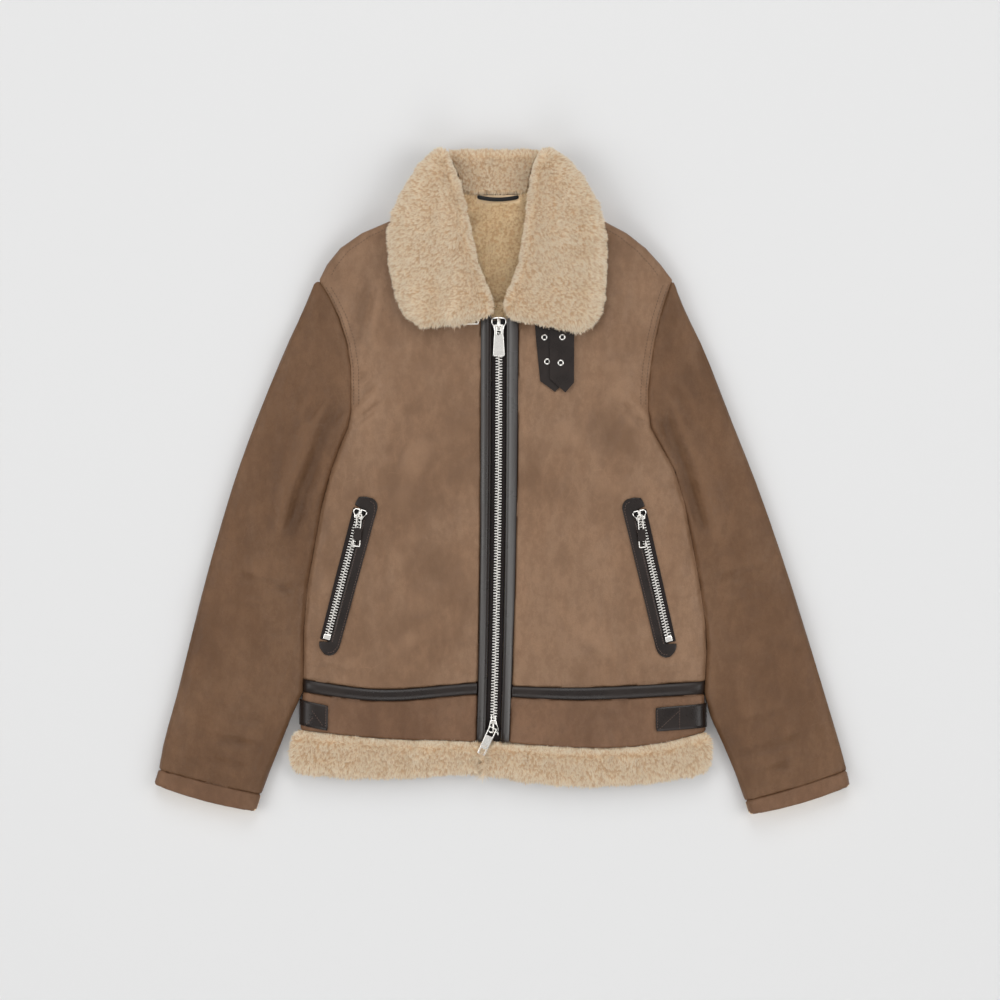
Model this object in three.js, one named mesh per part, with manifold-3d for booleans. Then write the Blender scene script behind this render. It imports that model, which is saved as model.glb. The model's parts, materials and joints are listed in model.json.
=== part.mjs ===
import * as THREE from 'three';
import { mergeVertices } from 'three/addons/utils/BufferGeometryUtils.js';
import Module from 'manifold-3d';

// A shearling coat laid flat on its back, zipped up, with its collar turned down.
// Millimetres. +X points to the wearer's left, +Y to the collar, +Z up from the surface it lies on.
// The origin is on that surface, at the middle of the coat's length and width.

const { clamp, lerp, smoothstep } = THREE.MathUtils;

// Driving dimensions of the laid coat
const WALL = 12; // skin and fleece together
const LAYER_GAP = 2; // between the back and what lies on it
const HEIGHT = 2 * WALL + LAYER_GAP;
const MIDDLE = HEIGHT / 2;
const SEAM = 0.3; // free space between two pieces that are sewn together
const ARMHOLE_TOP = 252;
const UNDERARM_TOP = 88;
const UNDERARM_FREE = 48;
const EDGE = { radius: 14, drop: 8 }; // a side that rolls over to the back
const ARMHOLE_EDGE = { radius: 5, drop: 3 }; // a side that is sewn to its neighbour
const EDGE_PARTS = [0, 0.3, 1]; // columns over a rounded edge, as parts of its radius

// Collar
const COLLAR_TOP = 414.5;
const FALL_END = 316;
const FALL_THICK = 15.7;
const COLLAR_LIFT = 16; // the yoke lies this much higher, on the fall
const LIFT = { from: 252, to: 310 };
const STAND_START = 361;
const STAND = { start: 30, end: 38 };
const WING_FUR = 24;
const WING_LENGTH = 210;
const WING_REST = 6.2; // space under a wing's free end for the straps and the buckle
const WING_REST_RANGE = { from: 225, to: 250 };
const WING_DROP = { from: 366, to: 386 };
const WING_HANG = { from: 24, to: 36 }; // how far past the shoulder a wing comes down on the fall

// Front zip
const ZIP_TOP = 222;
const ZIP_END = -325;
const FACING_INNER = 9.8;
const PIPING = { middle: 16.4, half: 4.9, rise: 3 };
const TAPE = { low: 19, high: 21 };
const CHAIN = { half: 4.6, low: 21.3, high: 25.3, start: 188.5, end: -296.5 };

// Pieces on the panels
const WELT_THICK = 2.4;
const POCKET_TAPE_THICK = 1;
const POCKET_CHAIN = { half: 4.4, thick: 2.8, start: 29.2, end: 178 };
const STRAP_THICK = 2;
const TRIM_RISE = 2.5;
const HEM_FUR_RISE = 4;
const HEM_LENGTH = 50;
const HEM_PARTING = -27.8; // where the two fronts' hem fur meets
const FACING_REACH = 20;
const HEM_SEAM = 0.9; // the fur's pile keeps this far from the leather above it
const BACK_LINE_END = 252; // the back's seams run straight between these two ends of the fronts' seams
const TAB_THICK = 2.2;
const TAB_END = 6; // how low a side tab comes over the side edge
const TAB_SPACE = 0.9; // between a side tab and the band that it bends over

const COLOURS = {
  leather: 0x886d5a,
  sleeveLeather: 0x765b46,
  bandLeather: 0x6f5440,
  fur: 0xc4aa8e,
  darkLeather: 0x3f3836,
  trimLeather: 0x4d4644,
  tape: 0x241f1e,
  silver: 0xc9c7c2,
};

const RIGHT = { name: 'right', sign: -1 };
const LEFT = { name: 'left', sign: 1 };
const SIDES = [RIGHT, LEFT];

// Shoulder line, from the neck out to the top of the armhole
const SHOULDER = [
  { y: 361, right: -68, left: 54 },
  { y: 353, right: -92, left: 78 },
  { y: 340, right: -113, left: 101 },
  { y: 325, right: -141, left: 126 },
  { y: 310, right: -176, left: 154 },
  { y: 292, right: -203, left: 178 },
  { y: 272, right: -220, left: 197 },
  { y: 252, right: -231, left: 212 },
];

// Armhole seam, then the side down to the hem fur
const BODY_SIDE = [
  { y: 252, right: -230, left: 212 },
  { y: 218, right: -210, left: 200 },
  { y: 185, right: -198, left: 191.5 },
  { y: 150, right: -191, left: 185.5 },
  { y: 115, right: -190, left: 182 },
  { y: 85, right: -190, left: 182 },
  { y: 68, right: -194, left: 185.5 },
  { y: 45, right: -204, left: 198 },
  { y: 15, right: -215, left: 215 },
  { y: -30, right: -227, left: 228.5 },
  { y: -80, right: -236, left: 238 },
  { y: -130, right: -245, left: 247 },
  { y: -180, right: -249, left: 254 },
  { y: -230, right: -250, left: 255 },
  { y: -262, right: -250.5, left: 252 },
  { y: -274, right: -252.5, left: 252.5 },
  { y: -304, right: -253, left: 253 },
  { y: -325, right: -256, left: 256 },
];

// Neck edge of the fronts, under the wings
const NECK_EDGE = [
  { y: 353, right: -74, left: 56 },
  { y: 325, right: -60, left: 44 },
  { y: 292, right: -51, left: 37 },
  { y: 252, right: -43, left: 31 },
  { y: 230, right: -37, left: 27 },
];

// Middle of the zip and how far its facings reach to each side of it
const ZIP_LINE = [
  { y: 225, x: -4.8, right: 23, left: 24.8 },
  { y: -22, x: -6, right: 22.5, left: 23.5 },
  { y: -197, x: -9, right: 21.6, left: 22.2 },
  { y: -272, x: -11, right: 21.2, left: 21.2 },
  { y: -330, x: -13, right: 20.4, left: 20.5 },
];

// Lines across the fronts: the waist trim and the hem fur
const WAIST_LINE = [
  { x: -256, trimTop: -246, trimEnd: -262, furTop: -310, furEnd: -366 },
  { x: -153, trimTop: -259.5, trimEnd: -274.5, furTop: -321, furEnd: -372.5 },
  { x: -31, trimTop: -251, trimEnd: -265.5, furTop: -325, furEnd: -366 },
  { x: 10, trimTop: -255, trimEnd: -269, furTop: -326.5, furEnd: -374 },
  { x: 98, trimTop: -257, trimEnd: -273, furTop: -333, furEnd: -382 },
  { x: 190, trimTop: -253, trimEnd: -269, furTop: -328.5, furEnd: -377 },
  { x: 256, trimTop: -249, trimEnd: -265, furTop: -312, furEnd: -366 },
];

// Ends of the hem fur, which stands out past the leather
const HEM_SIDE = [
  { part: 0, right: -260, left: 256 },
  { part: 0.25, right: -265.5, left: 261 },
  { part: 0.6, right: -268, left: 262 },
  { part: 1, right: -260, left: 255 },
];

// Sleeves: for a point of the inner edge, the point of the outer edge across from it
const SLEEVE_RIGHT = [
  { inner: 252, x: -237, y: 247 },
  { inner: 218, x: -252.5, y: 210 },
  { inner: 172, x: -268, y: 177 },
  { inner: 126, x: -289, y: 127.5 },
  { inner: 90, x: -309, y: 77.5 },
  { inner: 48, x: -327.5, y: 27.5 },
  { inner: -5, x: -344, y: -22.5 },
  { inner: -110, x: -372.5, y: -122.5 },
  { inner: -215, x: -397.5, y: -222.5 },
  { inner: -262, x: -410, y: -272.5 },
  { inner: -318, x: -424, y: -322.5 },
  { inner: -391, x: -431, y: -359.5 },
];
const SLEEVE_LEFT = [
  { inner: 252, x: 216.5, y: 243 },
  { inner: 218, x: 230, y: 210 },
  { inner: 180, x: 245, y: 180 },
  { inner: 140, x: 262, y: 140 },
  { inner: 95, x: 286, y: 77.5 },
  { inner: 44, x: 306, y: 27.5 },
  { inner: -5, x: 325, y: -22.5 },
  { inner: -118, x: 359, y: -122.5 },
  { inner: -220, x: 390, y: -222.5 },
  { inner: -265, x: 405, y: -272.5 },
  { inner: -326, x: 420, y: -322.5 },
  { inner: -399.5, x: 430.5, y: -361 },
];

// Inner edge of the sleeves once they leave the body's side
const SLEEVE_INNER = [
  { y: -262, right: -251, left: 252.5 },
  { y: -290, right: -264, left: 259 },
  { y: -325, right: -278, left: 275 },
  { y: -360, right: -292, left: 290 },
  { y: -391, right: -303.5, left: 301 },
  { y: -416, right: -311, left: 310 },
];

// Cuffs: their two ends, at the seam and at the opening
const CUFFS = {
  right: {
    seamOuter: [-431, -359.5], seamInner: [-303.5, -391],
    endOuter: [-437, -378], endInner: [-310, -412],
  },
  left: {
    seamOuter: [430.5, -361], seamInner: [304, -399.5],
    endOuter: [434.5, -380], endInner: [309, -416],
  },
};
const CUFF_BOW = { seam: 2, end: 4 };
const CUFF_LENGTH = 18;
const CUFF_RISE = 1;

// The edge of the open neck, where each wing folds over, and the wing's free edge across from it
const WINGS = {
  right: [
    { foldX: -72.5, foldY: 414.5, freeX: -80, freeY: 414 },
    { foldX: -68, foldY: 400, freeX: -98, freeY: 399 },
    { foldX: -57, foldY: 380, freeX: -112, freeY: 381 },
    { foldX: -50.5, foldY: 355, freeX: -127, freeY: 355 },
    { foldX: -45, foldY: 330, freeX: -138, freeY: 330 },
    { foldX: -37, foldY: 295, freeX: -144, freeY: 303 },
    { foldX: -29, foldY: 262, freeX: -141, freeY: 270 },
    { foldX: -19, foldY: 240, freeX: -134, freeY: 238 },
    { foldX: -12.5, foldY: 222, freeX: -125, freeY: 209 },
    { foldX: -13, foldY: 206, freeX: -98, freeY: 192 },
  ],
  left: [
    { foldX: 51, foldY: 414.5, freeX: 60, freeY: 414 },
    { foldX: 41, foldY: 400, freeX: 79, freeY: 400 },
    { foldX: 36, foldY: 380, freeX: 96, freeY: 382 },
    { foldX: 31.5, foldY: 355, freeX: 112, freeY: 355 },
    { foldX: 28.5, foldY: 330, freeX: 124, freeY: 328 },
    { foldX: 24.5, foldY: 295, freeX: 129, freeY: 295 },
    { foldX: 17.5, foldY: 262, freeX: 128, freeY: 262 },
    { foldX: 9, foldY: 240, freeX: 126.5, freeY: 235 },
    { foldX: 0, foldY: 222, freeX: 122, freeY: 204 },
    { foldX: 10, foldY: 201, freeX: 98, freeY: 187 },
  ],
};
const WING_ROWS = [0, 0.06, 0.16, 0.28, 0.4, 0.52, 0.64, 0.75, 0.84, 0.91, 0.96, 1];

// Outline of the fall, which is the part of the collar behind the back
const FALL_SIDE = [
  { y: 414.5, right: -66, left: 56 },
  { y: 408, right: -88, left: 70 },
  { y: 396, right: -100, left: 83 },
  { y: 378, right: -113, left: 97 },
  { y: 355, right: -127, left: 112 },
  { y: 330, right: -137, left: 123 },
  { y: 316, right: -140, left: 127 },
];

// Largest folds of the leather: a line, half its width and how far it stands out or sinks in
const FOLDS = [
  { x0: -175, y0: 262, x1: -186, y1: 150, half: 13, rise: -2.6 },
  { x0: 163, y0: 258, x1: 158, y1: 190, half: 12, rise: -1.4 },
  { x0: -150, y0: 118, x1: -196, y1: 62, half: 13, rise: 2 },
  { x0: 152, y0: 112, x1: 182, y1: 70, half: 13, rise: 1.5 },
  { x0: -214, y0: 82, x1: -258, y1: -52, half: 11, rise: -4.5 },
  { x0: -232, y0: 76, x1: -272, y1: -46, half: 13, rise: 2.2 },
  { x0: 203, y0: 84, x1: 236, y1: -20, half: 10, rise: -4 },
  { x0: 226, y0: 78, x1: 256, y1: -16, half: 12, rise: 2 },
  { x0: -262, y0: -150, x1: -352, y1: -118, half: 14, rise: -2 },
  { x0: 268, y0: -135, x1: 345, y1: -112, half: 13, rise: -1.6 },
  { x0: -285, y0: -318, x1: -385, y1: -300, half: 12, rise: -2.2 },
  { x0: 285, y0: -330, x1: 380, y1: -306, half: 12, rise: -2 },
];

const BODY_ROWS = [
  353, 340, 325, 310, 292, 272, 252, 230, 205, 175, 145, 115, 90, 68, 45, 15, -30, -80, -130, -180, -215,
];
const SLEEVE_END_ROWS = [-262, -295, -330, -364];

/** Smooth curve through a table's rows, as a function from one of its columns to another. */
function through(rows, key, value) {
  const points = [...rows].sort((a, b) => a[key] - b[key]);
  const last = points.length - 1;
  const slopes = points.map((point, i) => {
    const before = points[Math.max(i - 1, 0)];
    const after = points[Math.min(i + 1, last)];
    return (after[value] - before[value]) / (after[key] - before[key]);
  });
  return (at) => {
    const place = clamp(at, points[0][key], points[last][key]);
    const next = clamp(points.findIndex((point) => point[key] >= place), 1, last);
    const [a, b] = [points[next - 1], points[next]];
    const length = b[key] - a[key];
    const t = (place - a[key]) / length;
    const rise = b[value] - a[value];
    const bend = (1 - t) * slopes[next - 1] * length - t * slopes[next] * length + (2 * t - 1) * rise;
    return a[value] + t * rise + t * (1 - t) * bend;
  };
}

for (const side of SIDES) {
  side.shoulder = through(SHOULDER, 'y', side.name);
  side.seam = through(BODY_SIDE, 'y', side.name);
  side.neck = through(NECK_EDGE, 'y', side.name);
  side.facing = through(ZIP_LINE, 'y', side.name);
  side.hem = through(HEM_SIDE, 'part', side.name);
  side.fall = through(FALL_SIDE, 'y', side.name);
  side.sleeveInner = through(SLEEVE_INNER, 'y', side.name);
  const sleeve = side === RIGHT ? SLEEVE_RIGHT : SLEEVE_LEFT;
  side.sleeveOuterX = through(sleeve, 'inner', 'x');
  side.sleeveOuterY = through(sleeve, 'inner', 'y');
  side.sleeveEnd = sleeve.at(-1).inner;
  side.fold = through(WINGS[side.name], 'foldY', 'foldX');
}
const zipX = through(ZIP_LINE, 'y', 'x');
const trimTop = through(WAIST_LINE, 'x', 'trimTop');
const trimEnd = through(WAIST_LINE, 'x', 'trimEnd');
const furTop = through(WAIST_LINE, 'x', 'furTop');
const furEnd = through(WAIST_LINE, 'x', 'furEnd');

/** Side edge of the body at a height y. */
const edgeX = (side, y) => (y > ARMHOLE_TOP ? side.shoulder(y) : side.seam(y));

/** Where a front ends: at the zip's facing, or above it at the neck edge. */
function openEdgeX(side, y) {
  const atFacing = zipX(y) + side.sign * (side.facing(y) + SEAM);
  return lerp(atFacing, side.neck(y), smoothstep(y, 204, 230));
}

/** How far a wall has come down at a distance inside its edge. */
function roundOff(inside, { radius, drop }) {
  const part = clamp(inside / radius, 0, 1);
  return drop * (1 - Math.sqrt(1 - (1 - part) ** 2));
}

/** Shape of the body's edge at a height y, and of the sleeve's edge beside it. */
function edgeShape(y) {
  const belowArm = 1 - smoothstep(y, UNDERARM_FREE, UNDERARM_TOP);
  const free = belowArm + smoothstep(y, ARMHOLE_TOP, ARMHOLE_TOP + 14);
  return {
    radius: lerp(ARMHOLE_EDGE.radius, EDGE.radius, free),
    drop: lerp(ARMHOLE_EDGE.drop, EDGE.drop, free),
  };
}

/** Half the space between two layers, closing towards a seam. */
const halfGap = (inside) => lerp(SEAM / 2, LAYER_GAP / 2, smoothstep(inside, 0, EDGE.radius));

/** How much higher the yoke lies where the fall of the collar is under it. */
function lift(y) {
  return COLLAR_LIFT * clamp((y - LIFT.from) / (LIFT.to - LIFT.from), 0, 1);
}

/** Rise of all folds at a point. */
function folds(x, y) {
  let rise = 0;
  for (const fold of FOLDS) {
    const line = new THREE.Vector2(fold.x1 - fold.x0, fold.y1 - fold.y0);
    const offset = new THREE.Vector2(x - fold.x0, y - fold.y0);
    const along = offset.dot(line) / line.lengthSq();
    const across = offset.cross(line) / line.length() / fold.half;
    const taper = smoothstep(along, -0.1, 0.3) * (1 - smoothstep(along, 0.7, 1.1));
    rise += fold.rise * taper * Math.exp(-across * across);
  }
  return rise;
}

/** Distance inside the body's side edge. */
const insideBody = (side, x, y) => side.sign * (edgeX(side, y) - x);

/** Height of the fronts' outer face. */
function frontTop(x, y) {
  const side = x < zipX(y) ? RIGHT : LEFT;
  return HEIGHT + lift(y) - roundOff(insideBody(side, x, y), edgeShape(y)) + folds(x, y);
}

/** Distances from one edge of a piece, close together where both of its edges round off. */
function spread(width, inner, radius = EDGE.radius) {
  const edge = Math.min(radius, width / 2.6);
  const rounded = EDGE_PARTS.map((part) => part * edge);
  const middle = [];
  for (let i = 1; i <= inner; i += 1) {
    middle.push(lerp(edge, width - edge, i / (inner + 1)));
  }
  return [...rounded, ...middle, ...rounded.map((inside) => width - inside).reverse()];
}

/** Closed wall from its sections: rows of points that have an x, a y, a low and a high. */
function wall(sections) {
  const rows = sections.length;
  const columns = sections[0].length;
  const points = sections.flat();
  const positions = [
    ...points.flatMap((p) => [p.x, p.y, p.high]),
    ...points.flatMap((p) => [p.x, p.y, p.low]),
  ];
  const high = (row, column) => row * columns + column;
  const low = (row, column) => points.length + high(row, column);
  const faces = [];
  const quad = (a, b, c, d) => faces.push([a, b, c], [a, c, d]);
  for (let row = 0; row < rows - 1; row += 1) {
    for (let column = 0; column < columns - 1; column += 1) {
      quad(high(row, column), high(row + 1, column), high(row + 1, column + 1), high(row, column + 1));
      quad(low(row, column), low(row, column + 1), low(row + 1, column + 1), low(row + 1, column));
    }
    const last = columns - 1;
    quad(high(row, 0), low(row, 0), low(row + 1, 0), high(row + 1, 0));
    quad(high(row + 1, last), low(row + 1, last), low(row, last), high(row, last));
  }
  for (let column = 0; column < columns - 1; column += 1) {
    const last = rows - 1;
    quad(high(0, column + 1), low(0, column + 1), low(0, column), high(0, column));
    quad(high(last, column), low(last, column), low(last, column + 1), high(last, column + 1));
  }
  const [a, b, c] = [points[0], points[columns], points[1]];
  const turned = (b.x - a.x) * (c.y - a.y) - (b.y - a.y) * (c.x - a.x) < 0;
  const geometry = new THREE.BufferGeometry();
  geometry.setAttribute('position', new THREE.Float32BufferAttribute(positions, 3));
  geometry.setIndex(faces.flatMap((face) => (turned ? face.reverse() : face)));
  geometry.computeVertexNormals();
  return geometry;
}

const coat = new THREE.Group();

/** Adds a named piece in its finish. */
function addPiece(name, geometry, colour, { roughness = 0.6, metalness = 0 } = {}) {
  const material = new THREE.MeshStandardMaterial({ color: colour, roughness, metalness });
  const mesh = new THREE.Mesh(geometry, material);
  mesh.name = name;
  coat.add(mesh);
  return mesh;
}

const FLEECE = { roughness: 0.95 };
const METAL = { roughness: 0.3, metalness: 1 };
const WOVEN = { roughness: 0.9 };

/** Heights at which a side of the body has its rows, down to the waist trim. */
function bodyRows(side) {
  return [...BODY_ROWS, trimTop(edgeX(side, -250)) + SEAM / 2];
}

/** Point height on a row that bends down to the waist trim's line. */
function rowY(y, x, edge) {
  const weight = smoothstep(-y, 60, 240);
  return y + weight * (trimTop(x) - trimTop(edge));
}

function frontPanel(side) {
  return wall(bodyRows(side).map((y) => {
    const edge = edgeX(side, y);
    const width = Math.abs(openEdgeX(side, y) - edge);
    return spread(width, 5).map((inside) => {
      const x = edge - side.sign * inside;
      const at = rowY(y, x, edge);
      const shape = edgeShape(y);
      const high = HEIGHT + lift(at) - roundOff(inside, shape) + folds(x, at);
      return { x, y: at, high, low: MIDDLE + halfGap(inside) + lift(at) };
    });
  }));
}

function backPanel() {
  const rows = [STAND_START, ...bodyRows(RIGHT)];
  return wall(rows.map((y, row) => {
    const right = edgeX(RIGHT, y);
    const left = edgeX(LEFT, y);
    const leftY = row === rows.length - 1 ? bodyRows(LEFT).at(-1) : y;
    return spread(left - right, 8).map((inside) => {
      const x = right + inside;
      const nearest = Math.min(inside, left - x);
      const at = lerp(y, leftY, inside / (left - right));
      const low = lift(at) + roundOff(nearest, edgeShape(y));
      return { x, y: at, low, high: MIDDLE - halfGap(nearest) + lift(at) };
    });
  }));
}

/** A band across a front, between two lines, with its own rise over the fronts' height. */
function frontBand(side, { top, end, parts, edge, open, rise, gap = SEAM }) {
  return wall(parts.map((part) => {
    const sideX = edge(part);
    const width = Math.abs(open(part) - sideX);
    return spread(width, 5).map((inside) => {
      const x = sideX - side.sign * inside;
      const y = lerp(top(x) - gap / 2, end(x) + SEAM / 2, part);
      const high = HEIGHT - roundOff(inside, EDGE) + rise(part);
      return { x, y, high, low: MIDDLE + halfGap(inside) };
    });
  }));
}

/** The back's part of the same band, which lies flat. */
function backBand({ top, end, parts, edge, low = () => 0 }) {
  return wall(parts.map((part) => {
    const right = edge(RIGHT, part);
    const left = edge(LEFT, part);
    return spread(left - right, 6).map((inside) => {
      const x = right + inside;
      const nearest = Math.min(inside, left - x);
      const across = (x / BACK_LINE_END + 1) / 2;
      const topY = lerp(top(-BACK_LINE_END), top(BACK_LINE_END), across) - SEAM / 2;
      const endY = lerp(end(-BACK_LINE_END), end(BACK_LINE_END), across) + SEAM / 2;
      const under = Math.max(roundOff(nearest, EDGE), low(part));
      return { x, y: lerp(topY, endY, part), low: under, high: MIDDLE - halfGap(nearest) };
    });
  }));
}

function addBands() {
  const trimParts = [0, 0.2, 0.5, 0.8, 1];
  const bandParts = [0, 0.5, 1];
  const hemParts = [0, 0.16, 0.4, 0.7, 0.9, 1];
  const trimRise = (part) => TRIM_RISE * Math.sqrt(Math.max(0, 1 - (2 * part - 1) ** 2));
  const hemRise = (part) => HEM_FUR_RISE - roundOff(part * HEM_LENGTH, { radius: 10, drop: 7 })
    - roundOff((1 - part) * HEM_LENGTH, { radius: 14, drop: 11 });
  const hemLow = (part) => roundOff((1 - part) * HEM_LENGTH, { radius: 12, drop: 8 });
  for (const side of SIDES) {
    const at = (x, a, b) => (part) => lerp(a(side.sign * x), b(side.sign * x), part);
    const edgeBetween = (a, b) => (part) => edgeX(side, at(BACK_LINE_END, a, b)(part));
    const openBetween = (a, b) => (part) => openEdgeX(side, at(FACING_REACH, a, b)(part));
    addPiece(`waist_trim_${side.name}`, frontBand(side, {
      top: trimTop, end: trimEnd, parts: trimParts, rise: trimRise,
      edge: edgeBetween(trimTop, trimEnd), open: openBetween(trimTop, trimEnd),
    }), COLOURS.trimLeather, { roughness: 0.4 });
    addPiece(`waistband_${side.name}`, frontBand(side, {
      top: trimEnd, end: furTop, parts: bandParts, rise: () => 0,
      edge: edgeBetween(trimEnd, furTop), open: openBetween(trimEnd, furTop),
    }), COLOURS.bandLeather);
    const furOpen = HEM_PARTING + side.sign * SEAM;
    addPiece(`hem_fur_${side.name}`, frontBand(side, {
      top: furTop, end: furEnd, parts: hemParts, rise: hemRise, edge: side.hem, open: () => furOpen,
      gap: 2 * HEM_SEAM - SEAM,
    }), COLOURS.fur, FLEECE);
  }
  const backEdge = (a, b) => (side, part) => {
    const end = side.sign * BACK_LINE_END;
    return edgeX(side, lerp(a(end), b(end), part));
  };
  addPiece('waist_trim_back', backBand({
    top: trimTop, end: trimEnd, parts: [0, 1], edge: backEdge(trimTop, trimEnd),
  }), COLOURS.trimLeather, { roughness: 0.4 });
  addPiece('waistband_back', backBand({
    top: trimEnd, end: furTop, parts: bandParts, edge: backEdge(trimEnd, furTop),
  }), COLOURS.bandLeather);
  addPiece('hem_fur_back', backBand({
    top: furTop, end: furEnd, parts: hemParts, edge: (side, part) => side.hem(part), low: hemLow,
  }), COLOURS.fur, FLEECE);
}

/** Rows of a sleeve, each from its outer edge to its inner edge. */
function sleeveRows(side) {
  const beside = bodyRows(side).filter((y) => y <= ARMHOLE_TOP);
  return [...beside, ...SLEEVE_END_ROWS, side.sleeveEnd].map((y) => {
    const besideBody = y >= SLEEVE_END_ROWS[0];
    const innerX = besideBody ? side.seam(y) + side.sign * 0.4 : side.sleeveInner(y);
    return {
      y,
      outer: new THREE.Vector2(side.sleeveOuterX(y), side.sleeveOuterY(y)),
      inner: new THREE.Vector2(innerX, y),
      bow: CUFF_BOW.seam * smoothstep(-y, 300, 390),
    };
  });
}

/** Upper or under half of a sleeve or a cuff. */
function sleeveHalf(rows, half, { columns = 3, rise = 0 } = {}) {
  return wall(rows.map((row) => {
    const width = row.outer.distanceTo(row.inner);
    const innerShape = edgeShape(row.y);
    return spread(width, columns).map((inside) => {
      const at = row.outer.clone().lerp(row.inner, inside / width);
      const y = at.y - row.bow * Math.sin(Math.PI * (inside / width));
      const nearest = Math.min(inside, width - inside);
      const fitted = (shape) => ({ ...shape, radius: Math.min(shape.radius, width / 2.6) });
      const innerDrop = roundOff(width - inside, fitted(innerShape));
      const drop = Math.max(roundOff(inside, fitted(EDGE)), innerDrop);
      if (half === 'upper') {
        const high = HEIGHT - drop + rise + folds(at.x, y);
        return { x: at.x, y, high, low: MIDDLE + halfGap(nearest) };
      }
      return { x: at.x, y, low: drop, high: MIDDLE - halfGap(nearest) };
    });
  }));
}

/** Rows of a cuff band, from its seam to its opening. */
function cuffRows(side) {
  const { seamOuter, seamInner, endOuter, endInner } = CUFFS[side.name];
  return [SEAM / CUFF_LENGTH, 0.5, 1].map((part) => ({
    y: seamOuter[1],
    outer: new THREE.Vector2(...seamOuter).lerp(new THREE.Vector2(...endOuter), part),
    inner: new THREE.Vector2(...seamInner).lerp(new THREE.Vector2(...endInner), part),
    bow: lerp(CUFF_BOW.seam, CUFF_BOW.end, part),
  }));
}

function addSleeves() {
  for (const side of SIDES) {
    for (const half of ['upper', 'under']) {
      const sleeve = sleeveHalf(sleeveRows(side), half);
      addPiece(`sleeve_${side.name}_${half}`, sleeve, COLOURS.sleeveLeather);
      const cuff = sleeveHalf(cuffRows(side), half, { rise: CUFF_RISE });
      addPiece(`cuff_${side.name}_${half}`, cuff, COLOURS.bandLeather);
    }
  }
}

/** Underside of a wing: on the fronts, and down on the fall where it hangs over them. */
function wingLow(side, x, y) {
  const rest = WING_REST * (1 - smoothstep(y, WING_REST_RANGE.from, WING_REST_RANGE.to));
  const overYoke = 1.6 * (1 - smoothstep(Math.abs(y - LIFT.to), 4, 26));
  const onFront = HEIGHT + lift(y) + SEAM + rest + overYoke;
  const outside = side.sign * (x - side.shoulder(y));
  const pastShoulder = y > FALL_END ? smoothstep(outside, WING_HANG.from, WING_HANG.to) : 0;
  const pastNeck = smoothstep(y, WING_DROP.from, WING_DROP.to);
  return lerp(onFront, FALL_THICK + SEAM, Math.max(pastShoulder, pastNeck));
}

function collarWing(side) {
  const rows = WINGS[side.name];
  const curve = (points) => new THREE.CatmullRomCurve3(points.map(([x, y]) => new THREE.Vector3(x, y, 0)));
  const foldLine = curve(rows.map((row) => [row.foldX, row.foldY]));
  const freeLine = curve(rows.map((row) => [row.freeX, row.freeY]));
  return wall(WING_ROWS.map((part) => {
    const fold = foldLine.getPoint(part);
    const free = freeLine.getPoint(part);
    const width = fold.distanceTo(free);
    return spread(width, 4, 20).map((inside) => {
      const at = free.clone().lerp(fold, inside / width);
      const radius = Math.min(20, width / 2.6);
      const low = wingLow(side, at.x, at.y);
      const base = HEIGHT + lift(at.y) + SEAM;
      const fall = Math.max(
        roundOff(inside, { radius, drop: 15 }),
        roundOff(width - inside, { radius, drop: 12 }),
        roundOff((1 - part) * WING_LENGTH, { radius: 18, drop: 13 }),
        roundOff(part * WING_LENGTH, { radius: 40, drop: 22 }),
      );
      return { x: at.x, y: at.y, low, high: Math.max(base + WING_FUR + 2 - fall, low + 3) };
    });
  }));
}

function collarStand() {
  const rows = [0, 0.3, 0.6, 0.85, 1];
  return wall(rows.map((part) => {
    const y = lerp(STAND_START + SEAM, COLLAR_TOP, part);
    const right = RIGHT.fold(y) + 0.6;
    const left = LEFT.fold(y) - 0.6;
    return spread(left - right, 3, 8).map((inside) => {
      const high = lerp(STAND.start, STAND.end, part) - roundOff(COLLAR_TOP - y, { radius: 14, drop: 8 });
      return { x: right + inside, y, high, low: FALL_THICK + SEAM };
    });
  }));
}

function collarFall() {
  const rows = [414.5, 410, 402, 385, 360, 335, FALL_END];
  return wall(rows.map((y) => {
    const right = RIGHT.fall(y);
    const left = LEFT.fall(y);
    return spread(left - right, 5).map((inside) => {
      const nearest = Math.min(inside, left - right - inside);
      const low = Math.max(roundOff(nearest, EDGE), roundOff(COLLAR_TOP - y, EDGE));
      return { x: right + inside, y, low, high: FALL_THICK };
    });
  }));
}

function hangerLoop() {
  const loop = { start: -32.5, end: 20, middle: 356, height: 7.5, sag: 1.5, low: 28.3, high: 30.2 };
  return wall([1, 0].map((upper) => {
    const section = [];
    for (let i = 0; i <= 10; i += 1) {
      const bend = (2 * i / 10 - 1) ** 2;
      const y = loop.middle - 2.5 + loop.sag * bend + loop.height * (upper - 0.5);
      section.push({ x: lerp(loop.start, loop.end, i / 10), y, low: loop.low, high: loop.high });
    }
    return section;
  }));
}

/** Rows down the zip, from one height to another. */
function zipRows(from, to, count) {
  return Array.from({ length: count + 1 }, (_, i) => lerp(from, to, i / count));
}

function zipFacing(side) {
  return wall(zipRows(ZIP_TOP, ZIP_END, 12).map((y) => {
    const outer = side.facing(y);
    const { middle, half, rise } = PIPING;
    const places = [FACING_INNER, middle - half, middle - 0.75 * half, middle, middle + 0.75 * half, outer];
    return places.map((place) => {
      const across = clamp((place - middle) / half, -1, 1);
      const high = HEIGHT + rise * Math.sqrt(1 - across * across);
      return { x: zipX(y) + side.sign * place, y, high, low: MIDDLE + LAYER_GAP / 2 };
    });
  }));
}

/** A flat strip beside or along the middle of the zip. */
function zipStrip(from, to, start, end, { low, high }) {
  return wall(zipRows(start, end, 8).map((y) => [from, to].map((place) => (
    { x: zipX(y) + place, y, low, high }
  ))));
}

const wasm = await Module();
wasm.setup();

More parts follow.
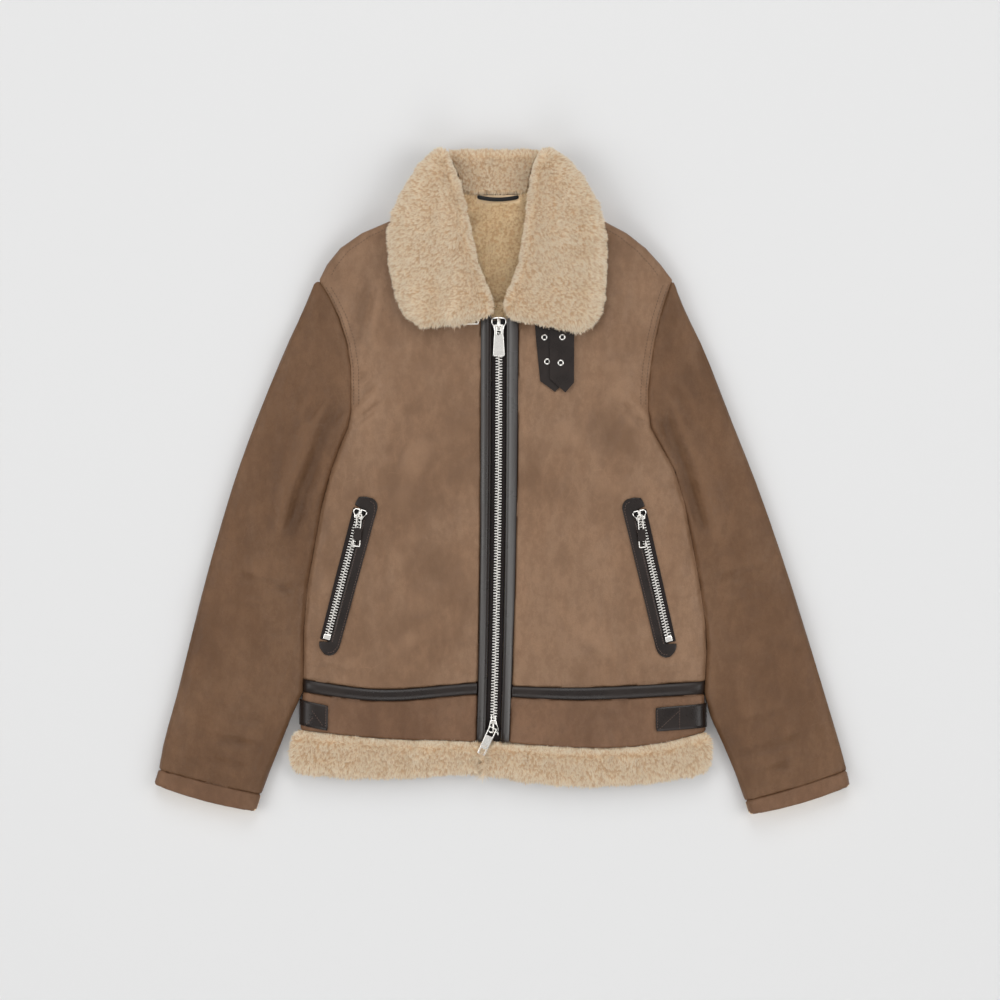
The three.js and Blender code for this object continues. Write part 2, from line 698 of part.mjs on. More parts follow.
/** One closed body from pieces that reach into each other. */
function joined(geometries) {
  const solids = geometries.map((geometry) => {
    const bare = geometry.clone();
    bare.deleteAttribute('normal');
    bare.deleteAttribute('uv');
    const merged = mergeVertices(bare, 1e-4);
    return new wasm.Manifold(new wasm.Mesh({
      numProp: 3,
      vertProperties: merged.attributes.position.array,
      triVerts: new Uint32Array(merged.index.array),
    }));
  });
  const mesh = solids.reduce((whole, solid) => whole.add(solid)).getMesh();
  const geometry = new THREE.BufferGeometry();
  geometry.setAttribute('position', new THREE.BufferAttribute(mesh.vertProperties, 3));
  geometry.setIndex(new THREE.BufferAttribute(mesh.triVerts, 1));
  geometry.computeVertexNormals();
  return geometry;
}

/** A plate with straight edges, from its corners and its holes, standing on z = 0. */
function plate(corners, thick, holes = []) {
  const shape = new THREE.Shape(corners.map(([x, y]) => new THREE.Vector2(x, y)));
  for (const hole of holes) {
    shape.holes.push(hole);
  }
  return new THREE.ExtrudeGeometry(shape, { depth: thick, bevelEnabled: false });
}

/** A rectangular opening, or a round one, for a plate. */
function window(x0, y0, x1, y1) {
  return new THREE.Path([[x0, y0], [x0, y1], [x1, y1], [x1, y0]].map(([x, y]) => new THREE.Vector2(x, y)));
}
function roundHole(x, y, radius) {
  return new THREE.Path().absarc(x, y, radius, 0, 2 * Math.PI, true);
}

// A slider, in its own frame, in which the pull hangs from the arch along -Y
const SLIDER = { body: 5.1, crown: 2.3, sink: 1.6, arch: 5.6, archHalf: 1.2, holeLow: 1.2, holeHigh: 4.4 };

/** Height at which a slider's arch starts, sunk into its crown, and the height of the pin in the arch. */
const archLow = (raise = 0) => SLIDER.body + SLIDER.crown - SLIDER.sink + raise;
const pinHeight = (raise = 0) => archLow(raise) + (SLIDER.holeLow + SLIDER.holeHigh) / 2;

/** A slider: the body round the teeth, the crown on it and the arch that the pull hangs from. */
function slider({ half, narrow, bodyHalf, length, raise = 0 }) {
  const body = plate([
    [-bodyHalf, length / 2], [-narrow, -length / 2], [narrow, -length / 2], [bodyHalf, length / 2],
  ], SLIDER.body - 1 + raise);
  const crown = plate([
    [-half, length / 2], [-half, length * 0.12], [-narrow, -length * 0.3], [-narrow, -length / 2],
    [narrow, -length / 2], [narrow, -length * 0.3], [half, length * 0.12], [half, length / 2],
  ], SLIDER.crown);
  crown.translate(0, 0, SLIDER.body - 1.2 + raise);
  const archEnd = length * 0.42;
  const arch = plate(
    [[archEnd, 0], [archEnd - 1, SLIDER.arch], [-archEnd + 1, SLIDER.arch], [-archEnd, 0]],
    2 * SLIDER.archHalf,
    [window(-archEnd + 2.6, SLIDER.holeLow, archEnd - 2.6, SLIDER.holeHigh)],
  );
  arch.rotateX(Math.PI / 2);
  arch.rotateZ(Math.PI / 2);
  arch.translate(-SLIDER.archHalf, 0, archLow(raise));
  return joined([body, crown, arch]);
}

/** A pull in its own frame: it turns about the X axis and hangs along -Y. */
function pull({ windowHalf, windowLength, armHalf, plateHalf, endHalf, length, endWindow }) {
  const armEnd = -windowLength - 1.1;
  const corners = [
    [-armHalf, 0.9], [-armHalf, armEnd], [-plateHalf, armEnd - 1.6], [-endHalf, -length],
    [endHalf, -length], [plateHalf, armEnd - 1.6], [armHalf, armEnd], [armHalf, 0.9],
  ];
  const holes = [window(-windowHalf, -windowLength, windowHalf, -0.8)];
  if (endWindow) {
    holes.push(window(...endWindow));
  }
  const geometry = plate(corners, 1.6, holes);
  geometry.translate(0, 0, -0.8);
  return geometry;
}

function addZip() {
  for (const side of SIDES) {
    addPiece(`zip_facing_${side.name}`, zipFacing(side), COLOURS.darkLeather, { roughness: 0.45 });
    const from = side.sign * (SEAM / 2);
    const to = side.sign * (FACING_INNER - SEAM);
    const tape = zipStrip(Math.min(from, to), Math.max(from, to), ZIP_TOP, ZIP_END, TAPE);
    addPiece(`zip_tape_${side.name}`, tape, COLOURS.tape, WOVEN);
  }
  const chain = zipStrip(-CHAIN.half, CHAIN.half, CHAIN.start, CHAIN.end, CHAIN);
  addPiece('zip_chain', chain, COLOURS.silver, METAL);

  const topBody = slider({ half: 9.4, narrow: 5.6, bodyHalf: 7.6, length: 17 });
  const top = addPiece('zip_slider_top', topBody, COLOURS.silver, METAL);
  top.position.set(-5.2, 197.6, TAPE.high + SEAM);
  const topPull = addPiece('zip_pull_top', pull({
    windowHalf: 2.2, windowLength: 12, armHalf: 5.6, plateHalf: 6, endHalf: 7.2, length: 38.5,
  }), COLOURS.silver, METAL);
  topPull.position.set(-5.2, 195.5, TAPE.high + SEAM + pinHeight());
  topPull.rotation.x = THREE.MathUtils.degToRad(4.5);

  const bottomBody = slider({ half: 6.4, narrow: 5, bodyHalf: 6, length: 16, raise: 1 });
  const bottom = addPiece('zip_slider_bottom', bottomBody, COLOURS.silver, METAL);
  bottom.rotation.z = Math.PI;
  bottom.position.set(-12.2, -305.6, TAPE.high + SEAM);
  const bottomPull = addPiece('zip_pull_bottom', pull({
    windowHalf: 3.8, windowLength: 11, armHalf: 5.4, plateHalf: 5.2, endHalf: 5.2, length: 37,
    endWindow: [-2.6, -34.5, 2.6, -29],
  }), COLOURS.silver, METAL);
  bottomPull.position.set(-12.2, -307, TAPE.high + SEAM + pinHeight(1));
  bottomPull.rotation.z = THREE.MathUtils.degToRad(-25);
}

// Pockets: where the chain's line starts, and how far it leans outwards from straight down
const POCKETS = {
  right: { x: -172.9, y: -17.75, lean: 14.9 },
  left: { x: 165.4, y: -19, lean: 13.2 },
};

// Welt of a pocket: distance down the chain's line, and its reach to the side seam and to the zip
const WELT = [
  { along: 0, outer: 1, inner: 11 },
  { along: 2.5, outer: -6.5, inner: 16 },
  { along: 8, outer: -8.5, inner: 19.4 },
  { along: 14, outer: -9, inner: 19.4 },
  { along: 16.5, outer: 5.6, inner: 19.3 },
  { along: 60, outer: 5.6, inner: 19 },
  { along: 120, outer: 5.6, inner: 18.6 },
  { along: 187, outer: 5.6, inner: 18.2 },
  { along: 189.5, outer: -8.2, inner: 18.1 },
  { along: 196, outer: -7, inner: 17 },
  { along: 201, outer: -2, inner: 14 },
  { along: 204, outer: 3, inner: 9 },
];
const POCKET_TAPE = [
  { along: 16.9, outer: -10, inner: 5.3 },
  { along: 60, outer: -9.6, inner: 5.3 },
  { along: 120, outer: -9, inner: 5.3 },
  { along: 186.6, outer: -8.2, inner: 5.3 },
];

/** Point of a pocket's frame on its panel. */
function onPocket(side, along, inwards) {
  const { x, y, lean } = POCKETS[side.name];
  const angle = THREE.MathUtils.degToRad(lean);
  return {
    x: x + side.sign * (along * Math.sin(angle) - inwards * Math.cos(angle)),
    y: y - along * Math.cos(angle) - inwards * Math.sin(angle),
  };
}

/** A piece of a pocket that lies on the panel, from rows down the pocket. */
function onPanel(side, rows, above, thick, crown = 0) {
  return wall(rows.map((row) => {
    const section = [0, 0.15, 0.85, 1].map((part) => {
      const at = onPocket(side, row.along, lerp(row.outer, row.inner, part));
      const low = frontTop(at.x, at.y) + above;
      const raised = part > 0 && part < 1 ? crown : 0;
      return { ...at, low, high: low + thick + raised };
    });
    return section;
  }));
}

function addPocket(side) {
  const name = `pocket_${side.name}`;
  const { half, thick, start, end } = POCKET_CHAIN;
  const onTape = SEAM + POCKET_TAPE_THICK + SEAM;
  const strip = (from, to, reach) => [
    { along: from, outer: -reach, inner: reach },
    { along: lerp(from, to, 0.5), outer: -reach, inner: reach },
    { along: to, outer: -reach, inner: reach },
  ];
  addPiece(`${name}_welt`, onPanel(side, WELT, SEAM, WELT_THICK - 0.7, 0.7), COLOURS.darkLeather);
  addPiece(`${name}_tape`, onPanel(side, POCKET_TAPE, SEAM, POCKET_TAPE_THICK), COLOURS.tape, WOVEN);
  addPiece(`${name}_chain`, onPanel(side, strip(start, end, half), onTape, thick), COLOURS.silver, METAL);
  const stop = onPanel(side, strip(178.5, 185, half), onTape, thick + 0.4);
  addPiece(`${name}_stop`, stop, COLOURS.silver, METAL);

  const turn = side.sign * THREE.MathUtils.degToRad(POCKETS[side.name].lean);
  const place = onPocket(side, 22.9, 0);
  const base = HEIGHT + onTape;
  const body = slider({ half: 8.6, narrow: 4.6, bodyHalf: 5, length: 12.4 });
  const metal = addPiece(`${name}_slider`, body, COLOURS.silver, METAL);
  metal.position.set(place.x, place.y, base);
  metal.rotation.z = turn;
  const tab = addPiece(`${name}_pull`, pull({
    windowHalf: 2.1, windowLength: 17, armHalf: 3.6, plateHalf: 4.9, endHalf: 4.9, length: 41,
    endWindow: [-2.8, -39, 2.8, -33.5],
  }), COLOURS.darkLeather, { roughness: 0.5 });
  const hinge = onPocket(side, 23.4, 0);
  tab.position.set(hinge.x, hinge.y, base + pinHeight());
  tab.rotation.set(THREE.MathUtils.degToRad(5.5), 0, turn, 'ZXY');
}

// Collar straps: corners of the one below and of the one on top, and their eyelets
const STRAP_UNDER = [[39.5, 203], [41, 180], [46.5, 126], [65, 112.6], [71.5, 119], [78, 203]];
const STRAP_UPPER = [[58, 203], [58.5, 129], [77.8, 111.6], [88.6, 124], [88.8, 203]];
const EYELET = { outer: 4.2, inner: 2, thick: 1 };
const EYELETS_UNDER = [[51.75, 180.75], [55.2, 150.5]];
const EYELETS_UPPER = [[74, 180.75], [72, 148.75]];

// The buckle under the right wing, and the short strap that holds it there
const BUCKLE = {
  frame: [[-63, 196.3], [-30, 196.3], [-30, 214.3], [-63, 214.3]],
  window: [-59, 199.6, -34, 211],
  strap: [[-58, 208], [-35, 208], [-35, 223], [-58, 223]],
  thick: 3,
};

/** A strap at a height, with a hole at each of its eyelets, and the eyelets on it. */
function addStrap(name, corners, eyelets, low, firstEyelet) {
  const holes = eyelets.map(([x, y]) => roundHole(x, y, EYELET.inner));
  const strap = addPiece(name, plate(corners, STRAP_THICK, holes), COLOURS.darkLeather);
  strap.position.z = low;
  eyelets.forEach(([x, y], i) => {
    const ring = new THREE.LatheGeometry([
      new THREE.Vector2(EYELET.inner, 0),
      new THREE.Vector2(EYELET.outer, 0),
      new THREE.Vector2(EYELET.outer - 0.6, EYELET.thick),
      new THREE.Vector2(EYELET.inner, EYELET.thick),
      new THREE.Vector2(EYELET.inner, 0),
    ], 16);
    ring.rotateX(Math.PI / 2);
    const eyelet = addPiece(`strap_eyelet_${firstEyelet + i}`, ring, COLOURS.silver, METAL);
    eyelet.position.set(x, y, low + STRAP_THICK + SEAM);
  });
}

function addCollarStraps() {
  const underLow = HEIGHT + SEAM;
  const upperLow = underLow + STRAP_THICK + SEAM + EYELET.thick + SEAM;
  addStrap('collar_strap_under', STRAP_UNDER, EYELETS_UNDER, underLow, 1);
  addStrap('collar_strap_upper', STRAP_UPPER, EYELETS_UPPER, upperLow, 3);

  const frame = plate(BUCKLE.frame, BUCKLE.thick, [window(...BUCKLE.window)]);
  const buckle = addPiece('collar_buckle', frame, COLOURS.silver, METAL);
  buckle.position.z = underLow;
  const strap = addPiece('buckle_strap', plate(BUCKLE.strap, STRAP_THICK - 0.2), COLOURS.darkLeather);
  strap.position.z = underLow + BUCKLE.thick + SEAM;
}

// Side tabs: corners on the front, at the side edge and towards the zip
const TABS = {
  right: { sideTop: -272.5, sideEnd: -304, innerTop: -279.5, innerEnd: -311, reach: 34 },
  left: { sideTop: -277, sideEnd: -307, innerTop: -282, innerEnd: -312, reach: 62 },
};

/** A tab that lies on the waistband and bends down over its side edge. */
function sideTab(side) {
  const { sideTop, sideEnd, innerTop, innerEnd, reach } = TABS[side.name];
  const edgeParts = EDGE_PARTS.map((part) => part * EDGE.radius);
  const edgeLow = HEIGHT - EDGE.drop + TAB_SPACE;
  return wall([0, 0.5, 1].map((part) => {
    const sideX = edgeX(side, lerp(sideTop, sideEnd, part));
    const bent = [
      { inside: -TAB_THICK - TAB_SPACE, low: TAB_END, high: MIDDLE + 3 },
      { inside: -TAB_SPACE - 0.05, low: TAB_END, high: edgeLow + TAB_THICK - 0.3 },
      { inside: -TAB_SPACE, low: edgeLow, high: edgeLow + TAB_THICK - 0.2 },
    ];
    const flat = [...edgeParts, reach].map((inside) => {
      const low = HEIGHT - roundOff(inside, EDGE) + TAB_SPACE;
      return { inside, low, high: low + TAB_THICK };
    });
    return [...bent, ...flat].map(({ inside, low, high }) => {
      const across = clamp(inside / reach, 0, 1);
      const y = lerp(lerp(sideTop, innerTop, across), lerp(sideEnd, innerEnd, across), part);
      return { x: sideX - side.sign * inside, y, low, high };
    });
  }));
}

addPiece('back_panel', backPanel(), COLOURS.leather);
for (const side of SIDES) {
  addPiece(`front_${side.name}_panel`, frontPanel(side), COLOURS.leather);
}
addBands();
addSleeves();
for (const side of SIDES) {
  addPiece(`collar_wing_${side.name}`, collarWing(side), COLOURS.fur, FLEECE);
}
addPiece('collar_stand', collarStand(), COLOURS.fur, FLEECE);
addPiece('collar_fall', collarFall(), COLOURS.fur, FLEECE);
addPiece('hanger_loop', hangerLoop(), COLOURS.darkLeather);
addZip();
for (const side of SIDES) {
  addPocket(side);
}
addCollarStraps();
for (const side of SIDES) {
  addPiece(`side_tab_${side.name}`, sideTab(side), COLOURS.darkLeather);
}

export default coat;
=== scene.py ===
"""Dresses a shearling coat that lies flat on its back: waxed leather, fleece, zips, straps and stitching."""

import functools
import json
import math
from typing import NamedTuple

import bmesh
import bpy
import numpy as np
from mathutils import Matrix, Vector
from mathutils.bvhtree import BVHTree
from mathutils.kdtree import KDTree

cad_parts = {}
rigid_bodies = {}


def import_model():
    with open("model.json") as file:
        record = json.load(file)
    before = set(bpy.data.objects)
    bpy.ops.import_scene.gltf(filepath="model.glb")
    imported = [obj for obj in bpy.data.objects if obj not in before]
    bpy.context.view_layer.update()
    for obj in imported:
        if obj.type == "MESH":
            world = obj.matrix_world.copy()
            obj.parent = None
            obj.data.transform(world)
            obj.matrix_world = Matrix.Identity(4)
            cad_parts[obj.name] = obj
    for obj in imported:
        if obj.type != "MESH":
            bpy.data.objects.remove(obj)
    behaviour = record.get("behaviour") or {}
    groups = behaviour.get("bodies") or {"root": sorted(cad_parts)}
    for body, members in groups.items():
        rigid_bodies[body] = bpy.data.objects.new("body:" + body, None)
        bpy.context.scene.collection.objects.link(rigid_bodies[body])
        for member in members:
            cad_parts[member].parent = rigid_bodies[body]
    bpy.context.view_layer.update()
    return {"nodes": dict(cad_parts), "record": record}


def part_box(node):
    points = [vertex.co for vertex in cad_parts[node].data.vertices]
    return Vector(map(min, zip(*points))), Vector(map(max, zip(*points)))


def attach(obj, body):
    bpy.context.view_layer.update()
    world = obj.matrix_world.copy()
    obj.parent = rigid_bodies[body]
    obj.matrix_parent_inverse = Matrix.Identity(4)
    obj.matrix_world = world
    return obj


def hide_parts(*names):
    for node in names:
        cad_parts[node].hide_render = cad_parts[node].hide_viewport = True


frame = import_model()

bl_info = {
    "name": "Shearling coat",
    "version": (1, 0, 0),
    "blender": (4, 5, 0),
    "location": "View3D > Sidebar > Coat",
    "description": "Makes the leather, fleece, zips, straps and stitching of a laid-out shearling coat",
    "category": "Object",
}

MM = 0.001
MIDDLE = 13 * MM  # height between the coat's upper and under layers
TOP_FACE = 26 * MM  # height of the fronts' leather
FRAME_WIDTH = 1250 * MM  # what the camera sees across
NARROWEST_CUT = 10.5 * MM  # a narrow strip is cut wider than it shows and folded
SOFT_LEVELS = 2  # how often a soft trim is subdivided
SHARP_EDGE = math.radians(30)  # edges that turn more than this are rounded
UNDER_COARSER = 1.4  # how much larger the faces are on the pieces that lie underneath
SEAM_FILL = 0.3 * MM  # how far the leather swells into the seams
SIDES = ("right", "left")
SIGN = {"right": -1, "left": 1}


class Crease(NamedTuple):
    """A soft trough or ridge of the leather: its points, half its width and its rise, in millimetres."""

    points: tuple
    half: float
    rise: float


BODY_CREASES = (
    Crease(((-167, 262), (-177, 210), (-185, 152)), 9, -2.0),
    Crease(((-128, 162), (-156, 112), (-182, 60)), 14, 1.2),
    Crease(((-106, 108), (-132, 66), (-155, 22)), 14, -1.1),
    Crease(((-60, 76), (-104, 26), (-144, -25)), 18, 1.2),
    Crease(((-102, -182), (-124, -200), (-146, -214)), 14, 1.0),
    Crease(((-60, -60), (-92, -108), (-130, -140)), 20, -1.0),
    Crease(((128, 158), (154, 110), (178, 60)), 14, 1.1),
    Crease(((104, 102), (130, 62), (152, 20)), 14, -1.0),
    Crease(((62, 80), (100, 30), (138, -20)), 18, 1.2),
    Crease(((98, -180), (122, -200), (150, -216)), 14, 0.9),
    Crease(((56, -70), (90, -112), (126, -140)), 20, -1.0),
    Crease(((-152, 250), (-160, 205), (-168, 160)), 9, 1.0),
    Crease(((163, 258), (160, 224), (159, 192)), 6, -0.9),
    Crease(((-150, 120), (-172, 99), (-190, 80)), 5, 1.3),
    Crease(((-146, 104), (-170, 84), (-192, 66)), 4, -1.3),
    Crease(((-160, 142), (-178, 130), (-189, 116)), 4, -0.9),
    Crease(((150, 112), (166, 96), (182, 76)), 5, 1.1),
    Crease(((146, 98), (166, 80), (184, 62)), 4, -1.1),
    Crease(((158, 138), (172, 128), (181, 112)), 4, -0.8),
    Crease(((-212, -60), (-200, -120), (-204, -190)), 11, -0.9),
    Crease(((205, -40), (196, -110), (203, -180)), 12, -0.8),
    Crease(((-70, 60), (-84, -40), (-78, -150)), 20, -0.7),
    Crease(((96, 90), (84, -20), (92, -140)), 22, -0.7),
    Crease(((-232, -226), (-205, -238), (-176, -240)), 5, -0.7),
    Crease(((236, -224), (210, -236), (184, -238)), 5, -0.7),
    Crease(((-120, -292), (-98, -287), (-76, -296)), 6, -0.6),
    Crease(((112, -296), (140, -290), (170, -300)), 6, -0.6),
)
SLEEVE_CREASES = (
    Crease(((-199, 108), (-220, 70), (-236, 27), (-252, -11), (-265, -65), (-278, -98)), 8.5, -3.0),
    Crease(((-238, 84), (-256, 34), (-272, -20), (-284, -76)), 13, 1.3),
    Crease(((-218, 120), (-236, 96), (-250, 66)), 6, -1.1),
    Crease(((-236, 150), (-256, 118), (-268, 80)), 9, -1.0),
    Crease(((-262, -98), (-296, -84), (-330, -86)), 7, -1.0),
    Crease(((-258, -140), (-296, -128), (-340, -116)), 6, -1.4),
    Crease(((-262, -162), (-300, -152), (-332, -144)), 5, 0.8),
    Crease(((-270, -190), (-306, -184), (-350, -168)), 7, -0.9),
    Crease(((-296, -300), (-330, -296), (-372, -276)), 6, -1.1),
    Crease(((-292, -334), (-334, -326), (-384, -316)), 5, -1.5),
    Crease(((-310, -360), (-352, -352), (-404, -338)), 5, -1.2),
    Crease(((196, 96), (210, 58), (222, 26), (236, -14), (248, -56), (256, -88)), 8, -2.8),
    Crease(((228, 84), (244, 40), (260, -14), (270, -70)), 13, 1.3),
    Crease(((208, 122), (226, 98), (240, 66)), 6, -1.1),
    Crease(((228, 148), (246, 116), (258, 78)), 9, -1.0),
    Crease(((256, -92), (286, -80), (318, -80)), 7, -0.9),
    Crease(((262, -126), (300, -116), (338, -108)), 6, -1.3),
    Crease(((262, -150), (302, -142), (330, -134)), 5, 0.8),
    Crease(((276, -196), (312, -188), (352, -172)), 7, -0.9),
    Crease(((286, -306), (324, -300), (366, -282)), 6, -1.1),
    Crease(((290, -342), (330, -334), (384, -318)), 5, -1.5),
    Crease(((306, -368), (350, -358), (402, -342)), 5, -1.2),
)
SLEEVE_SEAMS = (
    Crease(((-249, -188), (-272, -255), (-302, -322), (-311, -349), (-318, -370), (-325, -389)), 1.5, -1.5),
    Crease(((262, -255), (277, -311), (296, -352), (312, -392)), 1.5, -1.5),
)


def colour(red, green, blue):
    """A linear colour from the three sRGB numbers of a paint chart."""
    parts = [part / 255 for part in (red, green, blue)]
    return tuple(part / 12.92 if part <= 0.04045 else ((part + 0.055) / 1.055) ** 2.4 for part in parts)


class LeatherSettings(bpy.types.PropertyGroup):
    """Colours and relief of the waxed leather."""

    body: bpy.props.FloatVectorProperty(
        name="Body", description="Leather of the fronts and the back", subtype="COLOR",
        size=3, min=0, max=1, default=colour(137, 107, 83),
    )
    sleeve: bpy.props.FloatVectorProperty(
        name="Sleeves", description="Leather of the sleeves", subtype="COLOR",
        size=3, min=0, max=1, default=colour(112, 83, 60),
    )
    band: bpy.props.FloatVectorProperty(
        name="Bands", description="Leather of the waistband and the cuffs", subtype="COLOR",
        size=3, min=0, max=1, default=colour(119, 89, 67),
    )
    trim: bpy.props.FloatVectorProperty(
        name="Trims", description="Dark leather of the trims, straps and welts", subtype="COLOR",
        size=3, min=0, max=1, default=colour(34, 25, 21),
    )
    undulation: bpy.props.FloatProperty(
        name="Undulation", description="Height of the leather's slow waves", unit="LENGTH",
        subtype="DISTANCE", min=0, default=1.5 * MM,
    )
    creasing: bpy.props.FloatProperty(
        name="Creasing", description="Depth of the creases, as a share of the depths in the tables",
        min=0, default=1.8,
    )
    mesh: bpy.props.FloatProperty(
        name="Mesh", description="Size of the leather's faces", unit="LENGTH",
        subtype="DISTANCE", min=MM, default=3 * MM,
    )


class FleeceSettings(bpy.types.PropertyGroup):
    """Colours and pile of the fleece."""

    tip: bpy.props.FloatVectorProperty(
        name="Tips", description="Colour of the wool at its tips", subtype="COLOR",
        size=3, min=0, max=1, default=colour(255, 240, 215),
    )
    root: bpy.props.FloatVectorProperty(
        name="Roots", description="Colour of the wool near the skin", subtype="COLOR",
        size=3, min=0, max=1, default=colour(252, 223, 184),
    )
    lining: bpy.props.FloatVectorProperty(
        name="Lining", description="Colour of the lining's tips", subtype="COLOR",
        size=3, min=0, max=1, default=colour(255, 230, 184),
    )
    length: bpy.props.FloatProperty(
        name="Pile", description="Length of the wool on the collar and hem", unit="LENGTH",
        subtype="DISTANCE", min=MM, default=6.5 * MM,
    )
    spacing: bpy.props.FloatProperty(
        name="Spacing", description="Distance between two locks of wool", unit="LENGTH",
        subtype="DISTANCE", min=MM, default=1.05 * MM,
    )


class MetalSettings(bpy.types.PropertyGroup):
    """Finish and pitch of the zips."""

    silver: bpy.props.FloatVectorProperty(
        name="Silver", description="Colour of the zips, eyelets and buckle", subtype="COLOR",
        size=3, min=0, max=1, default=colour(247, 244, 238),
    )
    front_pitch: bpy.props.FloatProperty(
        name="Front pitch", description="From tooth to tooth on one side of the front zip", unit="LENGTH",
        subtype="DISTANCE", min=MM, default=3.54 * MM,
    )
    pocket_pitch: bpy.props.FloatProperty(
        name="Pocket pitch", description="From tooth to tooth on one side of a pocket's zip", unit="LENGTH",
        subtype="DISTANCE", min=MM, default=3.54 * MM,
    )


class StageSettings(bpy.types.PropertyGroup):
    """Camera, floor and lights."""

    height: bpy.props.FloatProperty(
        name="Camera height", description="Camera's height over the leather", unit="LENGTH",
        subtype="DISTANCE", min=1, default=3.0,
    )
    floor: bpy.props.FloatVectorProperty(
        name="Floor", description="Colour of the floor", subtype="COLOR",
        size=3, min=0, max=1, default=(0.8, 0.8, 0.8),
    )
    light: bpy.props.FloatProperty(
        name="Light", description="Strength of all the lights together", min=0, default=1.0,
    )


class Signal:
    """A material's socket that takes part in sums."""

    def __init__(self, finish, socket):
        self.finish = finish
        self.socket = socket

    def sum_with(self, operation, first, second):
        return self.finish.node("ShaderNodeMath", {"operation": operation}, {0: first, 1: second})

    def __add__(self, other):
        return self.sum_with("ADD", self, other)

    def __radd__(self, other):
        return self.sum_with("ADD", other, self)

    def __mul__(self, other):
        return self.sum_with("MULTIPLY", self, other)

    def __rmul__(self, other):
        return self.sum_with("MULTIPLY", other, self)


class Finish:
    """A material that is built node by node around one Principled shader."""

    def __init__(self, name, **constants):
        self.material = bpy.data.materials.new(name)
        self.material.use_nodes = True
        self.tree = self.material.node_tree
        self.tree.nodes.clear()
        output = self.tree.nodes.new("ShaderNodeOutputMaterial")
        self.shader = self.tree.nodes.new("ShaderNodeBsdfPrincipled")
        self.tree.links.new(self.shader.outputs[0], output.inputs["Surface"])
        for key, value in constants.items():
            self.shader.inputs[key.replace("_", " ")].default_value = value

    def feed(self, socket, value):
        if isinstance(value, Signal):
            self.tree.links.new(value.socket, socket)
        elif socket.type == "RGBA" and len(value) == 3:
            socket.default_value = (*value, 1)
        else:
            socket.default_value = value

    def node(self, kind, settings=None, inputs=None, output=0):
        """Adds a node with its settings and its sockets' values or links, and gives one of its outputs."""
        made = self.tree.nodes.new(kind)
        for key, value in (settings or {}).items():
            setattr(made, key, value)
        for key, value in (inputs or {}).items():
            self.feed(made.inputs[key], value)
        return Signal(self, made.outputs[output])

    def place(self):
        return self.node("ShaderNodeTexCoord", output="Object")

    def noise(self, scale, detail=3.0, roughness=0.55, at=None):
        inputs = {"Vector": at or self.place(), "Scale": scale, "Detail": detail, "Roughness": roughness}
        return self.node("ShaderNodeTexNoise", {}, inputs)

    def cells(self, scale, feature="F1", at=None):
        inputs = {"Vector": at or self.place(), "Scale": scale}
        return self.node("ShaderNodeTexVoronoi", {"feature": feature}, inputs, "Distance")

    def ranged(self, value, low, high, to_low=0.0, to_high=1.0):
        inputs = {"Value": value, "From Min": low, "From Max": high, "To Min": to_low, "To Max": to_high}
        return self.node("ShaderNodeMapRange", {"interpolation_type": "SMOOTHSTEP"}, inputs)

    def mixed(self, share, first, second):
        settings = {"data_type": "RGBA", "blend_type": "MIX"}
        return self.node("ShaderNodeMix", settings, {0: share, 6: first, 7: second}, 2)

    def attribute(self, name):
        return self.node("ShaderNodeAttribute", {"attribute_name": name}, {}, "Fac")

    def relief(self, height, distance, strength, under=None):
        inputs = {"Height": height, "Distance": distance, "Strength": strength}
        if under:
            inputs["Normal"] = under
        return self.node("ShaderNodeBump", {}, inputs)

    def set(self, **links):
        for key, value in links.items():
            self.feed(self.shader.inputs[key.replace("_", " ")], value)
        return self.material


def shaded(tone, factor, warmth=0.0):
    """A colour made lighter or darker, and warmer or cooler."""
    red, green, blue = (part * factor for part in tone)
    return (min(red * (1 + warmth), 1), min(green, 1), min(blue * (1 - warmth), 1))


